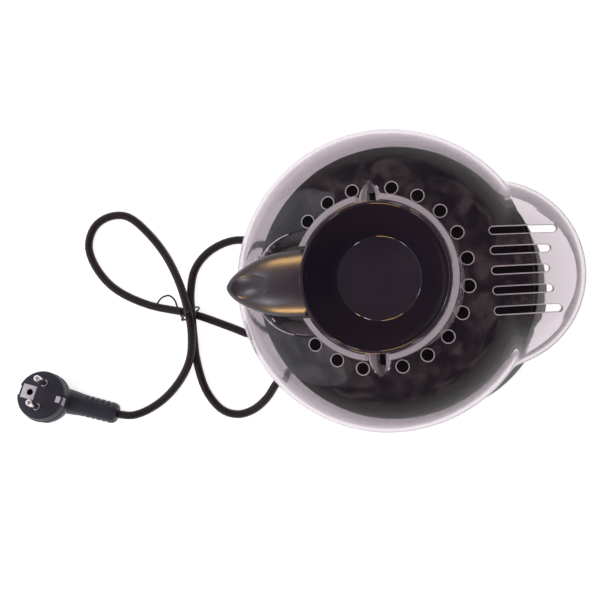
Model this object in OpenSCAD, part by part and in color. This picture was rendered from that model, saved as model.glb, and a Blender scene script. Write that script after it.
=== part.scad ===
// Hot-air popcorn popper: a tapered body with heater, fan and motor, a clear cover with a chute,
// and a measuring cup that closes the cover. The origin is on the table, in the middle of the machine
// without its cord. +Z is up and +X points the way the popcorn leaves.

/* [Body] */
// Diameter of the body at its foot
foot_d = 180; // [172:1:186]
// Diameter of the body at the ledge that the cover stands on
rim_d = 166; // [160:1:166]
// Height of the spigot that the cover slips over
spigot_h = 9; // [6:0.5:12]
// Rise of the deck from the spigot to the popping chamber
deck_rise = 4; // [2:0.5:6]
// Wall of the body shell
body_t = 2.5; // [2:0.1:3]
// Height of the rubber feet
foot_h = 5; // [4:0.5:6]
// Diameter of a rubber foot
rubber_d = 18; // [14:1:20]
// Thickness of the base plate
plate_t = 2.5; // [2:0.1:3.5]
// Width of an air slot in the base plate
intake_w = 4.5; // [4.2:0.1:6]
// Distance of the screw posts from the axis
post_pcr = 66; // [64:1:68]

/* [Cover] */
// Widest diameter of the cover's bulb
bulb_d = 168; // [167:1:176]
// Height of the widest place above the ledge
bulb_rise = 42; // [36:1:46]
// Height of the crown above the widest place
crown_rise = 40; // [38:0.5:44]
// Radius of the rounded shoulder
shoulder_r = 30; // [26:1:32]
// Wall of the cover
cover_t = 2.2; // [1.8:0.1:2.6]
// Height of the collar above the crown
collar_h = 7.5; // [6:0.5:11]
// Width of the collar's top around the cup
collar_w = 3.7; // [3:0.1:4.5]
// Depth of the rebate that holds the cup's rim
rebate_h = 2; // [1.5:0.1:3]
// Diameter of a steam vent
vent_d = 7; // [5:0.1:7.2]
// Distance from the collar to the middle of a vent
vent_gap = 4.6; // [4.6:0.1:6]
// Distance of the vent ring's middle from the axis, away from the chute
vent_back = 0.8; // [0:0.1:0.9]
// Angle between two vents
vent_step = 17.2; // [17:0.1:17.6]
// Radius of the scoop under the cup's handle
scoop_r = 27.5; // [25:0.5:28]
// Distance of the scoop's middle from the axis
scoop_x = 41.5; // [40:0.5:43]
// Depth of the scoop's floor below the crown
scoop_drop = 16; // [13:0.5:18]
// Width of a side notch in the collar
notch_w = 11.4; // [9:0.1:12]
// Reach of a side notch from the axis
notch_reach = 51.5; // [49:0.5:54]

/* [Chute] */
// Reach of the chute from the axis
hood_reach = 108.5; // [104:0.5:112]
// Width of the chute's hood
hood_d = 104; // [98:1:108]
// Height of the mouth's edge below the ledge
mouth_drop = 14; // [10:1:24]
// Distance of the slots' inner ends from the axis
slot_x = 58.6; // [56:0.1:60]
// Length of the middle slot
slot_len = 29.6; // [26:0.2:32]
// Width of a slot
slot_w = 4.4; // [3.6:0.1:5]
// Distance between two slots
slot_pitch = 10.5; // [9:0.1:11]
// Number of slots
slot_n = 5; // [3:2:5]

/* [Measuring cup] */
// Diameter of the cup's rim
cup_d = 79; // [76:0.5:82]
// Inner depth of the cup
cup_depth = 19.5; // [16:0.5:21]
// Diameter of the cup's flat floor
cup_floor_d = 45.5; // [40:0.5:48]
// Wall of the cup
cup_t = 1.8; // [1.4:0.1:2.2]
// Height of the cup's rim band
cup_band = 3.3; // [3:0.1:5]
// Reach of the handle's tip from the axis
handle_reach = 80.5; // [76:0.5:84]
// Width of the handle where it meets the cup
handle_w = 35.5; // [30:0.5:38]
// Thickness of the handle where it meets the cup
handle_t = 8.5; // [7:0.5:10]
// Drop of the handle's top from the rim to the tip
handle_drop = 9; // [6:0.5:10]

/* [Popping chamber and heater] */
// Inner diameter of the popping chamber
chamber_d = 83; // [78:0.5:84]
// Depth of the popping chamber
chamber_depth = 75; // [70:1:82]
// Room for the heater between the fan housing and the chamber
heater_room = 33.3; // [33:0.1:38]
// Sheet of the chamber and of the heater's shroud
sheet_t = 0.9; // [0.7:0.1:1.2]
// Number of air louvres in the chamber
louvre_n = 12; // [8:1:14]
// Radius of the ring that the heater coil follows
coil_ring_r = 30; // [27:0.5:33]
// Outer radius of the coil's own turns
coil_r = 4; // [3:0.1:4.5]
// Radius of the heater wire
wire_r = 0.5; // [0.4:0.05:0.6]
// Turns of the heater coil
coil_turns = 26; // [16:1:30]

/* [Fan and motor] */
// Height of the fan housing's floor
fan_z = 66; // [62:1:68]
// Outer diameter of the fan housing
fan_d = 112; // [108:1:116]
// Height of the fan housing
fan_h = 28; // [26:1:30]
// Diameter of the impeller
impeller_d = 88; // [80:1:92]
// Number of blades
blade_n = 12; // [8:1:16]
// Diameter of the motor
motor_d = 35; // [32:0.5:38]
// Length of the motor's can
motor_l = 34; // [30:1:36]
// Diameter of the motor's shaft
shaft_d = 3; // [2.5:0.1:4]

/* [Switch] */
// Height of the switch above the table
switch_z = 42; // [38:1:56]
// Width of the switch's opening
switch_w = 13; // [11:0.5:15]
// Height of the switch's opening
switch_h = 19; // [17:0.5:22]

/* [Cord and plug] */
// Diameter of the mains cord
cord_d = 6.2; // [5.8:0.1:7]
// Angle of the cord's gland around the axis
gland_angle = 208; // [206:1:210]
// Height of the gland above the table
gland_z = 14.5; // [14:0.5:18]
// Length of the gland's tapered sleeve outside the body
gland_len = 28; // [26:0.5:30]
// Diameter of the plug's face
plug_d = 38; // [36:0.5:40]
// Length of the plug's pins
pin_l = 19; // [18.5:0.1:19.5]
// Diameter of a plug pin
pin_d = 4.8; // [4.7:0.1:4.9]

/* [Fits] */
// Gap between parts that lift off each other
fit = 0.3; // [0.3:0.05:0.5]
// Gap of a fixed seat
seat = 0.1; // [0.05:0.05:0.2]
// Radial gap of a shaft in its bearing
run = 0.04; // [0.02:0.01:0.08]

/* [Hidden] */
$fn = 96;
e = 0.01;
far = 400;

// Levels, stacked from the fan up to the deck and down to the ledge that the cover stands on
fan_top = fan_z + fan_h;
shroud_z = fan_top + seat;
chamber_z = shroud_z + heater_room;
chamber_top = chamber_z + chamber_depth;
deck_z = chamber_top + seat + body_t;
rim_z = deck_z - deck_rise;
ledge_z = rim_z - spigot_h;

// Body radii, from the body's own axis, which stands behind the origin
foot_r = foot_d / 2;
axis_x = (foot_r - hood_reach) / 2;
rim_r = rim_d / 2;
foot_chamfer = [3, 4];
flank_z = foot_h + foot_chamfer[1];
cover_foot_r = rim_r + 0.2;
plate_top = foot_h + plate_t;
plate_r = foot_r - foot_chamfer[0] - body_t - fit;
post_r = 5;
post_angles = [45, 135, 225, 315];
foot_angles = [0, 90, 180, 270];
foot_pcr = plate_r - rubber_d / 2 - 4;
rib_t = 3;

// Screws
screw_r = 1.75;
screw_head_r = 3.4;
screw_head_h = 2;
screw_l = 12;
bore_gap = 0.05;

// Cover levels and arcs
bulb_r = bulb_d / 2;
bulb_z = ledge_z + bulb_rise;
crown_z = bulb_z + crown_rise;
cover_z = ledge_z + fit;
shoulder_x = bulb_r - shoulder_r;
crown_r = (pow(shoulder_x, 2) + pow(crown_rise, 2) - pow(shoulder_r, 2)) / (2 * (crown_rise - shoulder_r));
belly_in = bulb_r - cover_foot_r;
belly_r = (pow(belly_in, 2) + pow(bulb_rise, 2)) / (2 * belly_in);
belly_sides = 1440;
spigot_r = bulb_r - belly_r + sqrt(pow(belly_r - cover_t, 2) - pow(bulb_rise, 2)) - fit;
collar_z = crown_z + collar_h;
cup_r = cup_d / 2;
rebate_r = cup_r + fit;
collar_r = rebate_r + collar_w;
bore_r = rebate_r - 3;
scoop_z = crown_z - scoop_drop;
vent_r = collar_r + vent_gap;
vent_angles = [
    for (k = [-5 : 4]) (k + 0.5) * vent_step,
    for (k = [2 : 4]) 180 - (k + 0.5) * vent_step,
    for (k = [2 : 4]) 180 + (k + 0.5) * vent_step
];
notch_floor_z = crown_z - 10.5;
notch_slit_w = notch_w / 2.2;

// Chute: the hood's roof is a slanted ball that is cut by an upright round wall
hood_r = hood_d / 2;
hood_x = hood_reach - hood_r;
hood_shoulder_r = 20;
hood_z = bulb_z - 9;
hood_rise = 40;
hood_crown_x = hood_r - hood_shoulder_r;
hood_crown_r = (pow(hood_crown_x, 2) + pow(hood_rise, 2) - pow(hood_shoulder_r, 2))
    / (2 * (hood_rise - hood_shoulder_r));
roof_r = 81.3;
roof_back = 65.5;
roof_sink = 50.2;
roof_x = hood_reach - roof_back;
roof_z = bulb_z - roof_sink;
mouth_z = ledge_z - mouth_drop;
mouth_clear_r = flank_r(mouth_z) + 1;

// Cup
cup_z = collar_z - rebate_h + fit;
cup_rim_z = cup_z + cup_band;
cup_floor_z = cup_rim_z - cup_depth;
cup_floor_r = cup_floor_d / 2;
handle_tip_z = cup_rim_z - handle_drop;
handle_root_x = cup_r - 3;
handle_gap_w = handle_w + 2;
thumb_r = 30;
thumb_in = 11;
thumb_lift = 3.6;

// Popping chamber, shroud and heater
chamber_r = chamber_d / 2;
deck_hole_r = chamber_r;
flange_w = 8.5;
flange_r = chamber_r + flange_w;
chamber_screw_pcr = (chamber_r + sheet_t + flange_r) / 2;
chamber_screw_angles = [60, 180, 300];
chamber_screw_l = 7.5;
chamber_screw_head = [2.7, 1.4];
shroud_r = flange_r + seat;
deck_flat_r = shroud_r + sheet_t + 1;
shroud_top = chamber_top;
cone_r = 16;
cone_h = 9;
louvre_size = [6, 2.2, 14];
louvre_lift = 6;
mica_t = 0.8;
mica_h = 24;
mica_r = shroud_r - 1;
coil_z = shroud_z + mica_h / 2;
coil_gap = 0.4;
thermostat_z = chamber_z + 16;
thermostat_r = 8;
thermostat_t = 6;
sensor_r = shroud_r + sheet_t + seat;

// Fan and motor
fan_r = fan_d / 2;
fan_t = 2.5;
fan_mouth_r = shroud_r - 4;
inlet_r = 34;
hub_plate_r = motor_d / 2 + 2.5;
arm_w = 7;
impeller_r = impeller_d / 2;
impeller_z = fan_z + fan_t + 3;
impeller_h = 15;
impeller_disc_t = 1.5;
blade_t = 1.4;
blade_lean = 28;
shaft_r = shaft_d / 2;
motor_r = motor_d / 2;
motor_t = 1.2;
motor_top = fan_z - seat;
motor_z = motor_top - motor_l;
motor_screw_pcr = 9;
motor_screw_r = 1.3;
cap_h = 4;
bush_r = shaft_r + 2.2;
bush_h = 4;
magnet_r = motor_r - motor_t - 0.2;
magnet_t = 2.6;
armature_r = magnet_r - magnet_t - 0.7;
armature_h = motor_l - 14;
magnet_gap_w = 10;
board_t = 1.6;
board_z = motor_z - cap_h - seat - board_t;
diode_r = 1.4;
diode_l = 5;
diode_pcr = motor_r - 5;

// Switch: it stands in a flat pad on the -Y side of the body
switch_flange = 1.5;
switch_flange_t = 1.4;
switch_depth = 18;
switch_wall = 1.5;
pad_w = switch_w + 10;
pad_h = switch_h + 10;
pad_y = flank_r(switch_z + pad_h / 2) - 0.8;
pad_depth = 8;
pad_rim = 2.5;
rocker_gap = 0.35;
rocker_w = switch_w - 2 * switch_wall - 2 * rocker_gap;
rocker_h = switch_h - 2 * switch_wall - 2;
rocker_pivot_r = 1.1;
rocker_pivot_y = pad_y - 3.2;
rocker_tilt = 8;

// Terminal block and leads
block_size = [18, 12, 10];
block_r = 56;
block_angle = 196;
lead_r = 1.1;

// Gland
gland_r = 5;
gland_collar_r = 7;
gland_collar_t = 3;
gland_tip_r = cord_d / 2 + 1.1;
gland_out_r = flank_r(gland_z);
gland_tip = gland_out_r + gland_len;

// Plug: it lies on its round back with the pins up, leaning to one side
plug_angle = -17;
plug_lean = 15;
plug_ball_r = 22.5;
plug_ball_drop = 11.5;
plug_at = [-294.6, -62.3, plug_ball_r];
plug_neck_l = 55;
plug_neck_r = [9.6, 7.6];
plug_neck_z = [-12.4, -14.4];
plug_rib_n = 5;
plug_rib_pitch = 4.6;
plug_rib_w = 2.2;
pin_pitch = 19;
pin_root = 7.8;
pin_root_r = pin_d / 2 - 0.2;
pin_shoulder = 0.6;
pin_tip = 1.2;
earth_hole_x = -10;
clip_w = 7;
clip_t = 1;
clip_floor = 9;
clip_l = 8.4;
plug_neck_root = 6;
plug_neck_dip = atan2(plug_neck_z[0] - plug_neck_z[1], plug_neck_l - plug_neck_root);
plug_axis = concat(cos(plug_neck_dip) * [cos(plug_angle), sin(plug_angle)], -sin(plug_neck_dip));
plug_end = plug_at + polar(plug_neck_root, plug_angle, plug_neck_z[0])
    + (plug_neck_l - plug_neck_root) * plug_axis;

// Route of the cord's middle, from the gland to the plug
cord_route = [
    polar(gland_tip, gland_angle, gland_z),
    [-112.8, -60.4, 12.8], [-122.5, -71.8, 7.6], [-134.5, -80.4, 4], [-147.5, -83.4, 3.2],
    [-160.5, -78.4, 3.2], [-171.5, -63, 3.2], [-177.2, -41, 3.2], [-177.4, -22.5, 6.8],
    [-176.8, -5, 11], [-177.8, 12.5, 6.9], [-174, 30.5, 3.2], [-160, 44, 3.2], [-139.5, 49.8, 3.2],
    [-117.5, 43.5, 3.2], [-104, 25.5, 3.2], [-101.9, 5, 3.2], [-107, -11.5, 3.2],
    [-119.5, -21.5, 3.2], [-134, -22.8, 3.2], [-147.5, -17.2, 3.2], [-178, -4.6, 4.7],
    [-212, 4.2, 3.2], [-238, 17.5, 3.2], [-253, 34, 3.2], [-259.8, 52.5, 3.2], [-254.5, 68.2, 3.2],
    [-241.5, 75.8, 3.2], [-226, 74.4, 3.2], [-210.8, 60.8, 3.2], [-196.5, 41.5, 5], [-185, 19, 11.4],
    [-177.3, -5, 17.6], [-177.2, -23, 13.8], [-181, -39.5, 9.3], [-190.5, -54.5, 4.8],
    [-203.5, -67.5, 3.2], [-217.5, -76.2, 4.2], [-230.2, -80, 6.9],
    plug_end
];
cord_sides = 10;
tie_path = [
    [-205, 5, 7.6], [-201.5, 9.3, 6.6], [-196, 10.8, 5.2], [-191.5, 7, 5.4], [-188, 0, 9.4],
    [-185, -8, 7], [-182.4, -8.2, 2.2], [-178, -4.6, 0.9], [-173.4, -0.9, 2.4], [-172.1, 0.2, 9],
    [-172.6, -0.4, 17.8], [-177.3, -4, 22], [-182.8, -8.4, 18.2], [-183.6, -9.4, 12.6]
];
tie_wire_r = 0.7;

// Radius of the body's flank at a height
function flank_r(z) = foot_r + (rim_r - foot_r) * (z - flank_z) / (ledge_z - flank_z);
function polar(r, a, z = 0) = [r * cos(a), r * sin(a), z];
function unit(v) = v / norm(v);

// A point on the smooth curve through four route points, t of the way from b to c
function between(a, b, c, d, t) =
    0.5 * (2 * b + (c - a) * t + (2 * a - 5 * b + 4 * c - d) * t * t + (3 * b - a - 3 * c + d) * t * t * t);

// The route with one more point halfway along each stretch
function smoothed(p) = [
    for (i = [0 : len(p) - 2])
        let (a = p[max(i - 1, 0)], d = p[min(i + 2, len(p) - 1)])
            for (t = [0, 0.5]) between(a, p[i], p[i + 1], d, t),
    p[len(p) - 1]
];

module at_axis() {
    translate([axis_x, 0, 0])
        children();
}

module tube(r_out, r_in, h) {
    difference() {
        cylinder(r = r_out, h = h);
        translate([0, 0, -1])
            cylinder(r = r_in, h = h + 2);
    }
}

module bar(size) {
    translate([-size[0] / 2, -size[1] / 2, 0])
        cube(size);
}

// A direction square to each of dirs, carried along them without twist from v
function carried(dirs, v, i = 0) = i == len(dirs) ? [] :
    let (w = unit(v - (v * dirs[i]) * dirs[i])) concat([w], carried(dirs, w, i + 1));

// A round tube along a list of points, whose flat ends look along first and last
module swept(path, r, sides, first, last) {
    n = len(path);
    dirs = [
        for (i = [0 : n - 1])
            i == 0 ? first : i == n - 1 ? last : unit(path[i + 1] - path[i - 1])
    ];
    sideways = carried(dirs, abs(dirs[0][2]) < 0.9 ? [0, 0, 1] : [1, 0, 0]);
    rings = [
        for (i = [0 : n - 1], k = [0 : sides - 1])
            let (a = 360 * k / sides)
                path[i] + r * (cos(a) * sideways[i] + sin(a) * cross(dirs[i], sideways[i]))
    ];
    polyhedron(
        points = rings,
        faces = [
            [for (k = [sides - 1 : -1 : 0]) k],
            [for (k = [0 : sides - 1]) (n - 1) * sides + k],
            for (i = [0 : n - 2], k = [0 : sides - 1])
                let (a = i * sides + k, b = i * sides + (k + 1) % sides)
                    each [[a, b, b + sides], [a, b + sides, a + sides]]
        ],
        convexity = 10
    );
}

// A wire that bends softly at each of its points
module soft_wire(points, r) {
    path = smoothed(points);
    n = len(path);
    swept(path, r, 8, unit(path[1] - path[0]), unit(path[n - 1] - path[n - 2]));
}

module pan_screw(r, l, head_r, head_h) {
    translate([0, 0, -l])
        cylinder(r = r, h = l + e);
    cylinder(r = head_r, h = head_h);
}

module screw_slot(head_r, head_h) {
    translate([0, 0, head_h - 0.7])
        bar([2 * head_r, 0.9, 2]);
}

module slotted_screw(r, l, head_r, head_h) {
    difference() {
        pan_screw(r, l, head_r, head_h);
        screw_slot(head_r * 0.8, head_h);
    }
}

// ---- Body ----

module body_section() {
    polygon([
        [foot_r - foot_chamfer[0], foot_h], [foot_r, flank_z], [rim_r, ledge_z], [spigot_r, ledge_z],
        [spigot_r, rim_z], [deck_flat_r, deck_z], [deck_hole_r, deck_z], [deck_hole_r, deck_z - body_t],
        [deck_flat_r, deck_z - body_t], [spigot_r - body_t, rim_z - body_t],
        [spigot_r - body_t, ledge_z - body_t - 1], [flank_r(ledge_z - 8) - body_t, ledge_z - 8],
        [foot_r - body_t, flank_z], [foot_r - foot_chamfer[0] - body_t, foot_h]
    ]);
}

module body_posts() {
    intersection() {
        union()
            for (a = post_angles)
                rotate(a) {
                    translate([post_pcr, 0, plate_top + seat])
                        cylinder(r = post_r, h = fan_z - seat - plate_top - seat);
                    translate([post_pcr, -rib_t / 2, plate_top + seat])
                        cube([foot_r - post_pcr, rib_t, fan_z - seat - plate_top - seat - 4]);
                }
        translate([0, 0, flank_z])
            cylinder(r1 = foot_r - 1, r2 = rim_r - 1, h = ledge_z - flank_z);
    }
}

module body_shell() {
    color([0.10, 0.09, 0.10]) at_axis()
        difference() {
            union() {
                rotate_extrude()
                    body_section();
                body_posts();
                translate([0, -pad_y + pad_depth / 2, switch_z - pad_h / 2])
                    bar([pad_w, pad_depth, pad_h]);
            }
            for (a = post_angles, z = [plate_top, fan_z - screw_l - 1])
                translate(polar(post_pcr, a, z))
                    cylinder(r = screw_r + bore_gap, h = screw_l + 1 + e);
            for (a = chamber_screw_angles)
                translate(polar(chamber_screw_pcr, a, deck_z - body_t - 1))
                    cylinder(r = screw_r + bore_gap, h = body_t + 2);
            translate([0, -pad_y - pad_depth / 2, switch_z - pad_h / 2 + pad_rim])
                bar([pad_w - 2 * pad_rim, pad_depth, pad_h - 2 * pad_rim]);
            translate([0, -pad_y, switch_z - switch_h / 2 - seat])
                bar([switch_w + 2 * seat, 4 * pad_depth, switch_h + 2 * seat]);
            rotate(gland_angle)
                translate([plate_r - 20, 0, gland_z])
                    rotate([0, 90, 0])
                        cylinder(r = gland_r + seat, h = 40);
        }
}

module intake_slots() {
    pitch = 2 * intake_w;
    reach = 46;
    for (i = [-4 : 4])
        translate([i * pitch, 0, -1])
            bar([intake_w, 2 * sqrt(pow(reach, 2) - pow(i * pitch, 2)), plate_t + 2]);
}

module base_plate() {
    color([0.12, 0.11, 0.12]) at_axis()
        translate([0, 0, foot_h])
            difference() {
                cylinder(r = plate_r, h = plate_t);
                intake_slots();
                for (a = post_angles)
                    translate(polar(post_pcr, a, -1))
                        cylinder(r = screw_r + 0.3, h = plate_t + 2);
                for (a = foot_angles)
                    translate(polar(foot_pcr, a, -1))
                        cylinder(r = rubber_d / 4 + seat, h = plate_t + 2);
            }
}

module rubber_feet() {
    color([0.06, 0.06, 0.06]) at_axis()
        for (a = foot_angles)
            translate(polar(foot_pcr, a)) {
                cylinder(r1 = rubber_d / 2 - 1, r2 = rubber_d / 2, h = foot_h - seat);
                translate([0, 0, foot_h - seat - e])
                    cylinder(r = rubber_d / 4, h = plate_t + seat + 2);
            }
}

module base_screws() {
    color([0.7, 0.7, 0.72]) at_axis()
        for (a = post_angles)
            translate(polar(post_pcr, a, foot_h - seat))
                mirror([0, 0, 1])
                    slotted_screw(screw_r, screw_l, screw_head_r, screw_head_h);
}

// ---- Clear cover ----

// Half of a dome's section: a flat crown arc that runs into a round shoulder arc, made smaller by off
module dome_section(x, z, r, rise, crown, off) {
    c = z + rise - crown;
    join_x = x + (r - off) * sin(atan2(x, z - c));
    intersection() {
        translate([0, c])
            circle(r = crown - off);
        translate([0, z])
            square([join_x, rise]);
    }
    intersection() {
        translate([x, z])
            circle(r = r - off);
        translate([join_x, z])
            square([x + r - join_x, rise]);
    }
}

module bulb_section(off) {
    foot = cover_z - (off > 0 ? 1 : 0);
    dome_section(shoulder_x, bulb_z, shoulder_r, crown_rise, crown_r, off);
    intersection() {
        translate([bulb_r - belly_r, bulb_z])
            circle(r = belly_r - off, $fn = belly_sides);
        translate([0, foot])
            square([bulb_r, bulb_z - foot]);
    }
}

module hood_section(off) {
    foot = mouth_z - (off > 0 ? 1 : 0);
    dome_section(hood_crown_x, hood_z, hood_shoulder_r, hood_rise, hood_crown_r, off);
    translate([0, foot])
        square([hood_r - off, hood_z - foot]);
}

// Both round shapes are turned about, so that their seams lie inside the bulb
module hood(off) {
    intersection() {
        translate([hood_x, 0, 0])
            rotate(180)
                rotate_extrude()
                    hood_section(off);
        translate([roof_x, 0, roof_z])
            rotate(180)
                sphere(r = roof_r - off);
    }
}

// The scoop under the handle and the two side notches, grown by off
module scoop(off) {
    difference() {
        translate([-scoop_x, 0, scoop_z - off])
            cylinder(r = scoop_r + off, h = far);
        translate([0, 0, -e])
            cylinder(r = collar_r - off - e, h = far);
    }
}

module notch_outline(off) {
    reach = notch_reach - notch_w / 2;
    translate([0, reach])
        circle(r = notch_w / 2 + off);
    translate([-notch_w / 2 - off, bore_r + (off > 0 ? -e : -1)])
        square([notch_w + 2 * off, reach - bore_r + 1]);
}

module notches(off) {
    for (s = [0, 180])
        rotate(s)
            translate([0, 0, notch_floor_z - off])
                linear_extrude(far)
                    notch_outline(off);
}

module chute_slots() {
    half = (slot_n - 1) / 2;
    for (k = [-half : half]) {
        long = slot_len - slot_w + 1.3 * k * k;
        translate([slot_x + slot_w / 2, k * slot_pitch, roof_z]) {
            cylinder(d = slot_w, h = far);
            translate([0, -slot_w / 2, 0])
                cube([long, slot_w, far]);
            translate([long, 0, 0])
                cylinder(d = slot_w, h = far);
        }
    }
}

module cover() {
    color([0.85, 0.83, 0.86, 0.35]) at_axis()
        difference() {
            union() {
                difference() {
                    rotate_extrude()
                        bulb_section(0);
                    scoop(0);
                }
                translate([0, 0, bulb_z])
                    cylinder(r = collar_r, h = collar_z - bulb_z);
                hood(0);
            }
            difference() {
                rotate_extrude()
                    bulb_section(cover_t);
                scoop(cover_t);
                notches(cover_t);
            }
            hood(cover_t);
            notches(0);
            translate([0, 0, mouth_z - 1])
                cylinder(r = mouth_clear_r, h = cover_z - mouth_z + 1);
            translate([0, 0, ledge_z])
                cylinder(r = bore_r, h = far);
            translate([0, 0, collar_z - rebate_h])
                cylinder(r = rebate_r, h = far);
            translate([-collar_r - 4, -handle_gap_w / 2, cup_rim_z - handle_t - 2])
                cube([collar_r + 4, handle_gap_w, far]);
            for (s = [90, -90])
                rotate(s)
                    translate([bore_r - 2, -notch_slit_w / 2, ledge_z])
                        cube([collar_r - bore_r + 3, notch_slit_w, far]);
            for (a = vent_angles)
                translate(polar(vent_r, a, bulb_z) - [vent_back, 0, 0])
                    cylinder(d = vent_d, h = far);
            chute_slots();
        }
}

// ---- Measuring cup ----

module cup_section() {
    knee = 4;
    polygon([
        [0, cup_floor_z - cup_t], [cup_floor_r - knee, cup_floor_z - cup_t],
        [cup_floor_r + 1, cup_floor_z - cup_t + 2], [bore_r - fit - 1, cup_z - 2.5],
        [bore_r - fit, cup_z], [cup_r, cup_z], [cup_r, cup_rim_z - 0.8], [cup_r - 0.8, cup_rim_z],
        [cup_r - 1.4, cup_rim_z], [bore_r - 1, cup_z - 1], [cup_floor_r + 1.5, cup_floor_z + 3],
        [cup_floor_r, cup_floor_z + 0.8], [cup_floor_r - 1, cup_floor_z], [0, cup_floor_z]
    ]);
}

// Handle from above, as a list of points from the root to the tip on one side
function handle_edge(off) = let (w = handle_w / 2, l = handle_reach - handle_root_x) [
    [handle_root_x, w - off], [handle_root_x + 0.36 * l, 0.93 * w - off],
    [handle_root_x + 0.60 * l, 0.80 * w - off], [handle_root_x + 0.80 * l, 0.56 * w - off],
    [handle_root_x + 0.93 * l - off / 2, 0.32 * w - off / 2], [handle_root_x + l - off, 0]
];

module handle_plan(off) {
    edge = handle_edge(off);
    polygon(concat(
        [for (p = edge) [-p[0], p[1]]],
        [for (i = [len(edge) - 2 : -1 : 0]) [-edge[i][0], -edge[i][1]]]
    ));
}

// Handle from the side, thinner by off at the top
module handle_side(off, thick) {
    l = handle_reach - handle_root_x;
    top = [
        [0, cup_rim_z], [0.45 * l, cup_rim_z - 0.15 * handle_drop],
        [0.75 * l, cup_rim_z - 0.45 * handle_drop], [l + 1, handle_tip_z]
    ];
    polygon(concat(
        [for (p = top) [-handle_root_x - p[0], p[1] - off]],
        [for (i = [len(top) - 1 : -1 : 0])
            [-handle_root_x - top[i][0], top[i][1] - thick * (1 - 0.5 * top[i][0] / l)]]
    ));
}

module handle_solid(off, thick) {
    intersection() {
        translate([0, 0, ledge_z])
            linear_extrude(far)
                handle_plan(off);
        rotate([90, 0, 0])
            translate([0, 0, -handle_w])
                linear_extrude(2 * handle_w)
                    handle_side(off, thick);
    }
}

// The ball that presses the thumb rest into the handle, grown by off
module thumb(off) {
    translate([-handle_reach + thumb_in, 0, handle_tip_z + thumb_lift + thumb_r])
        sphere(r = thumb_r + off);
}

module measuring_cup() {
    color([0.05, 0.045, 0.05]) at_axis()
        difference() {
            union() {
                rotate_extrude()
                    cup_section();
                difference() {
                    handle_solid(0, handle_t);
                    difference() {
                        handle_solid(cup_t, handle_t + 2);
                        thumb(cup_t);
                    }
                    translate([0, 0, ledge_z])
                        cylinder(r = handle_root_x + 1, h = far);
                }
            }
            thumb(0);
        }
}

// ---- Popping chamber and heater ----

module popping_chamber() {
    color([0.78, 0.78, 0.80]) at_axis()
        difference() {
            union() {
                translate([0, 0, chamber_z])
                    tube(chamber_r + sheet_t, chamber_r, chamber_depth);
                translate([0, 0, chamber_z])
                    cylinder(r = chamber_r + sheet_t, h = sheet_t);
                translate([0, 0, chamber_z + sheet_t - e])
                    cylinder(r1 = cone_r, r2 = 2, h = cone_h);
                translate([0, 0, chamber_top - sheet_t])
                    tube(flange_r, chamber_r, sheet_t);
            }
            translate([0, 0, chamber_z - e])
                cylinder(r1 = cone_r - 1.2, r2 = 1, h = cone_h);
            for (i = [0 : louvre_n - 1])
                rotate(360 * i / louvre_n)
                    translate([chamber_r, 0, chamber_z + louvre_lift])
                        rotate([35, 0, 0])
                            bar(louvre_size);
            for (a = chamber_screw_angles)
                translate(polar(chamber_screw_pcr, a, chamber_top - sheet_t - 1))
                    cylinder(r = screw_r + bore_gap, h = sheet_t + 2);
        }
}

module chamber_screws() {
    color([0.12, 0.12, 0.13]) at_axis()
        for (a = chamber_screw_angles)
            translate(polar(chamber_screw_pcr, a, deck_z + seat))
                slotted_screw(screw_r, chamber_screw_l, chamber_screw_head[0], chamber_screw_head[1]);
}

module heater_shroud() {
    color([0.72, 0.72, 0.74]) at_axis()
        translate([0, 0, shroud_z])
            tube(shroud_r + sheet_t, shroud_r, shroud_top - shroud_z);
}

module mica_cross() {
    color([0.75, 0.70, 0.58]) at_axis()
        difference() {
            union()
                for (a = [0, 90])
                    rotate(a)
                        translate([0, 0, shroud_z])
                            bar([2 * mica_r, mica_t, mica_h]);
            for (a = [0, 90])
                rotate(a)
                    translate([0, mica_t, coil_z])
                        rotate([90, 0, 0])
                            for (s = [-1, 1])
                                translate([s * coil_ring_r, 0, 0])
                                    cylinder(r = coil_r + wire_r + coil_gap, h = 2 * mica_t);
        }
}

module heater_coil() {
    steps = 9;
    path = [
        for (i = [0 : coil_turns * steps])
            let (turn = 360 * i / steps, r = coil_ring_r + coil_r * cos(turn))
                polar(r, 8 + 344 * i / (coil_turns * steps), coil_z + coil_r * sin(turn))
    ];
    n = len(path);
    color([0.45, 0.44, 0.46]) at_axis()
        swept(path, wire_r, 5, unit(path[1] - path[0]), unit(path[n - 1] - path[n - 2]));
}

module thermostat() {
    color([0.80, 0.76, 0.66]) at_axis()
        rotate(90)
            translate([sensor_r, 0, thermostat_z])
                rotate([0, 90, 0]) {
                    cylinder(r = thermostat_r, h = thermostat_t);
                    translate([0, 0, thermostat_t - e])
                        cylinder(r = 3, h = 2);
                }
}

module thermal_fuse() {
    color([0.85, 0.82, 0.78]) at_axis()
        rotate(120)
            translate([sensor_r + 2, 0, thermostat_z - 6])
                cylinder(r = 1.9, h = 12);
}

// ---- Fan and motor ----

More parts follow.
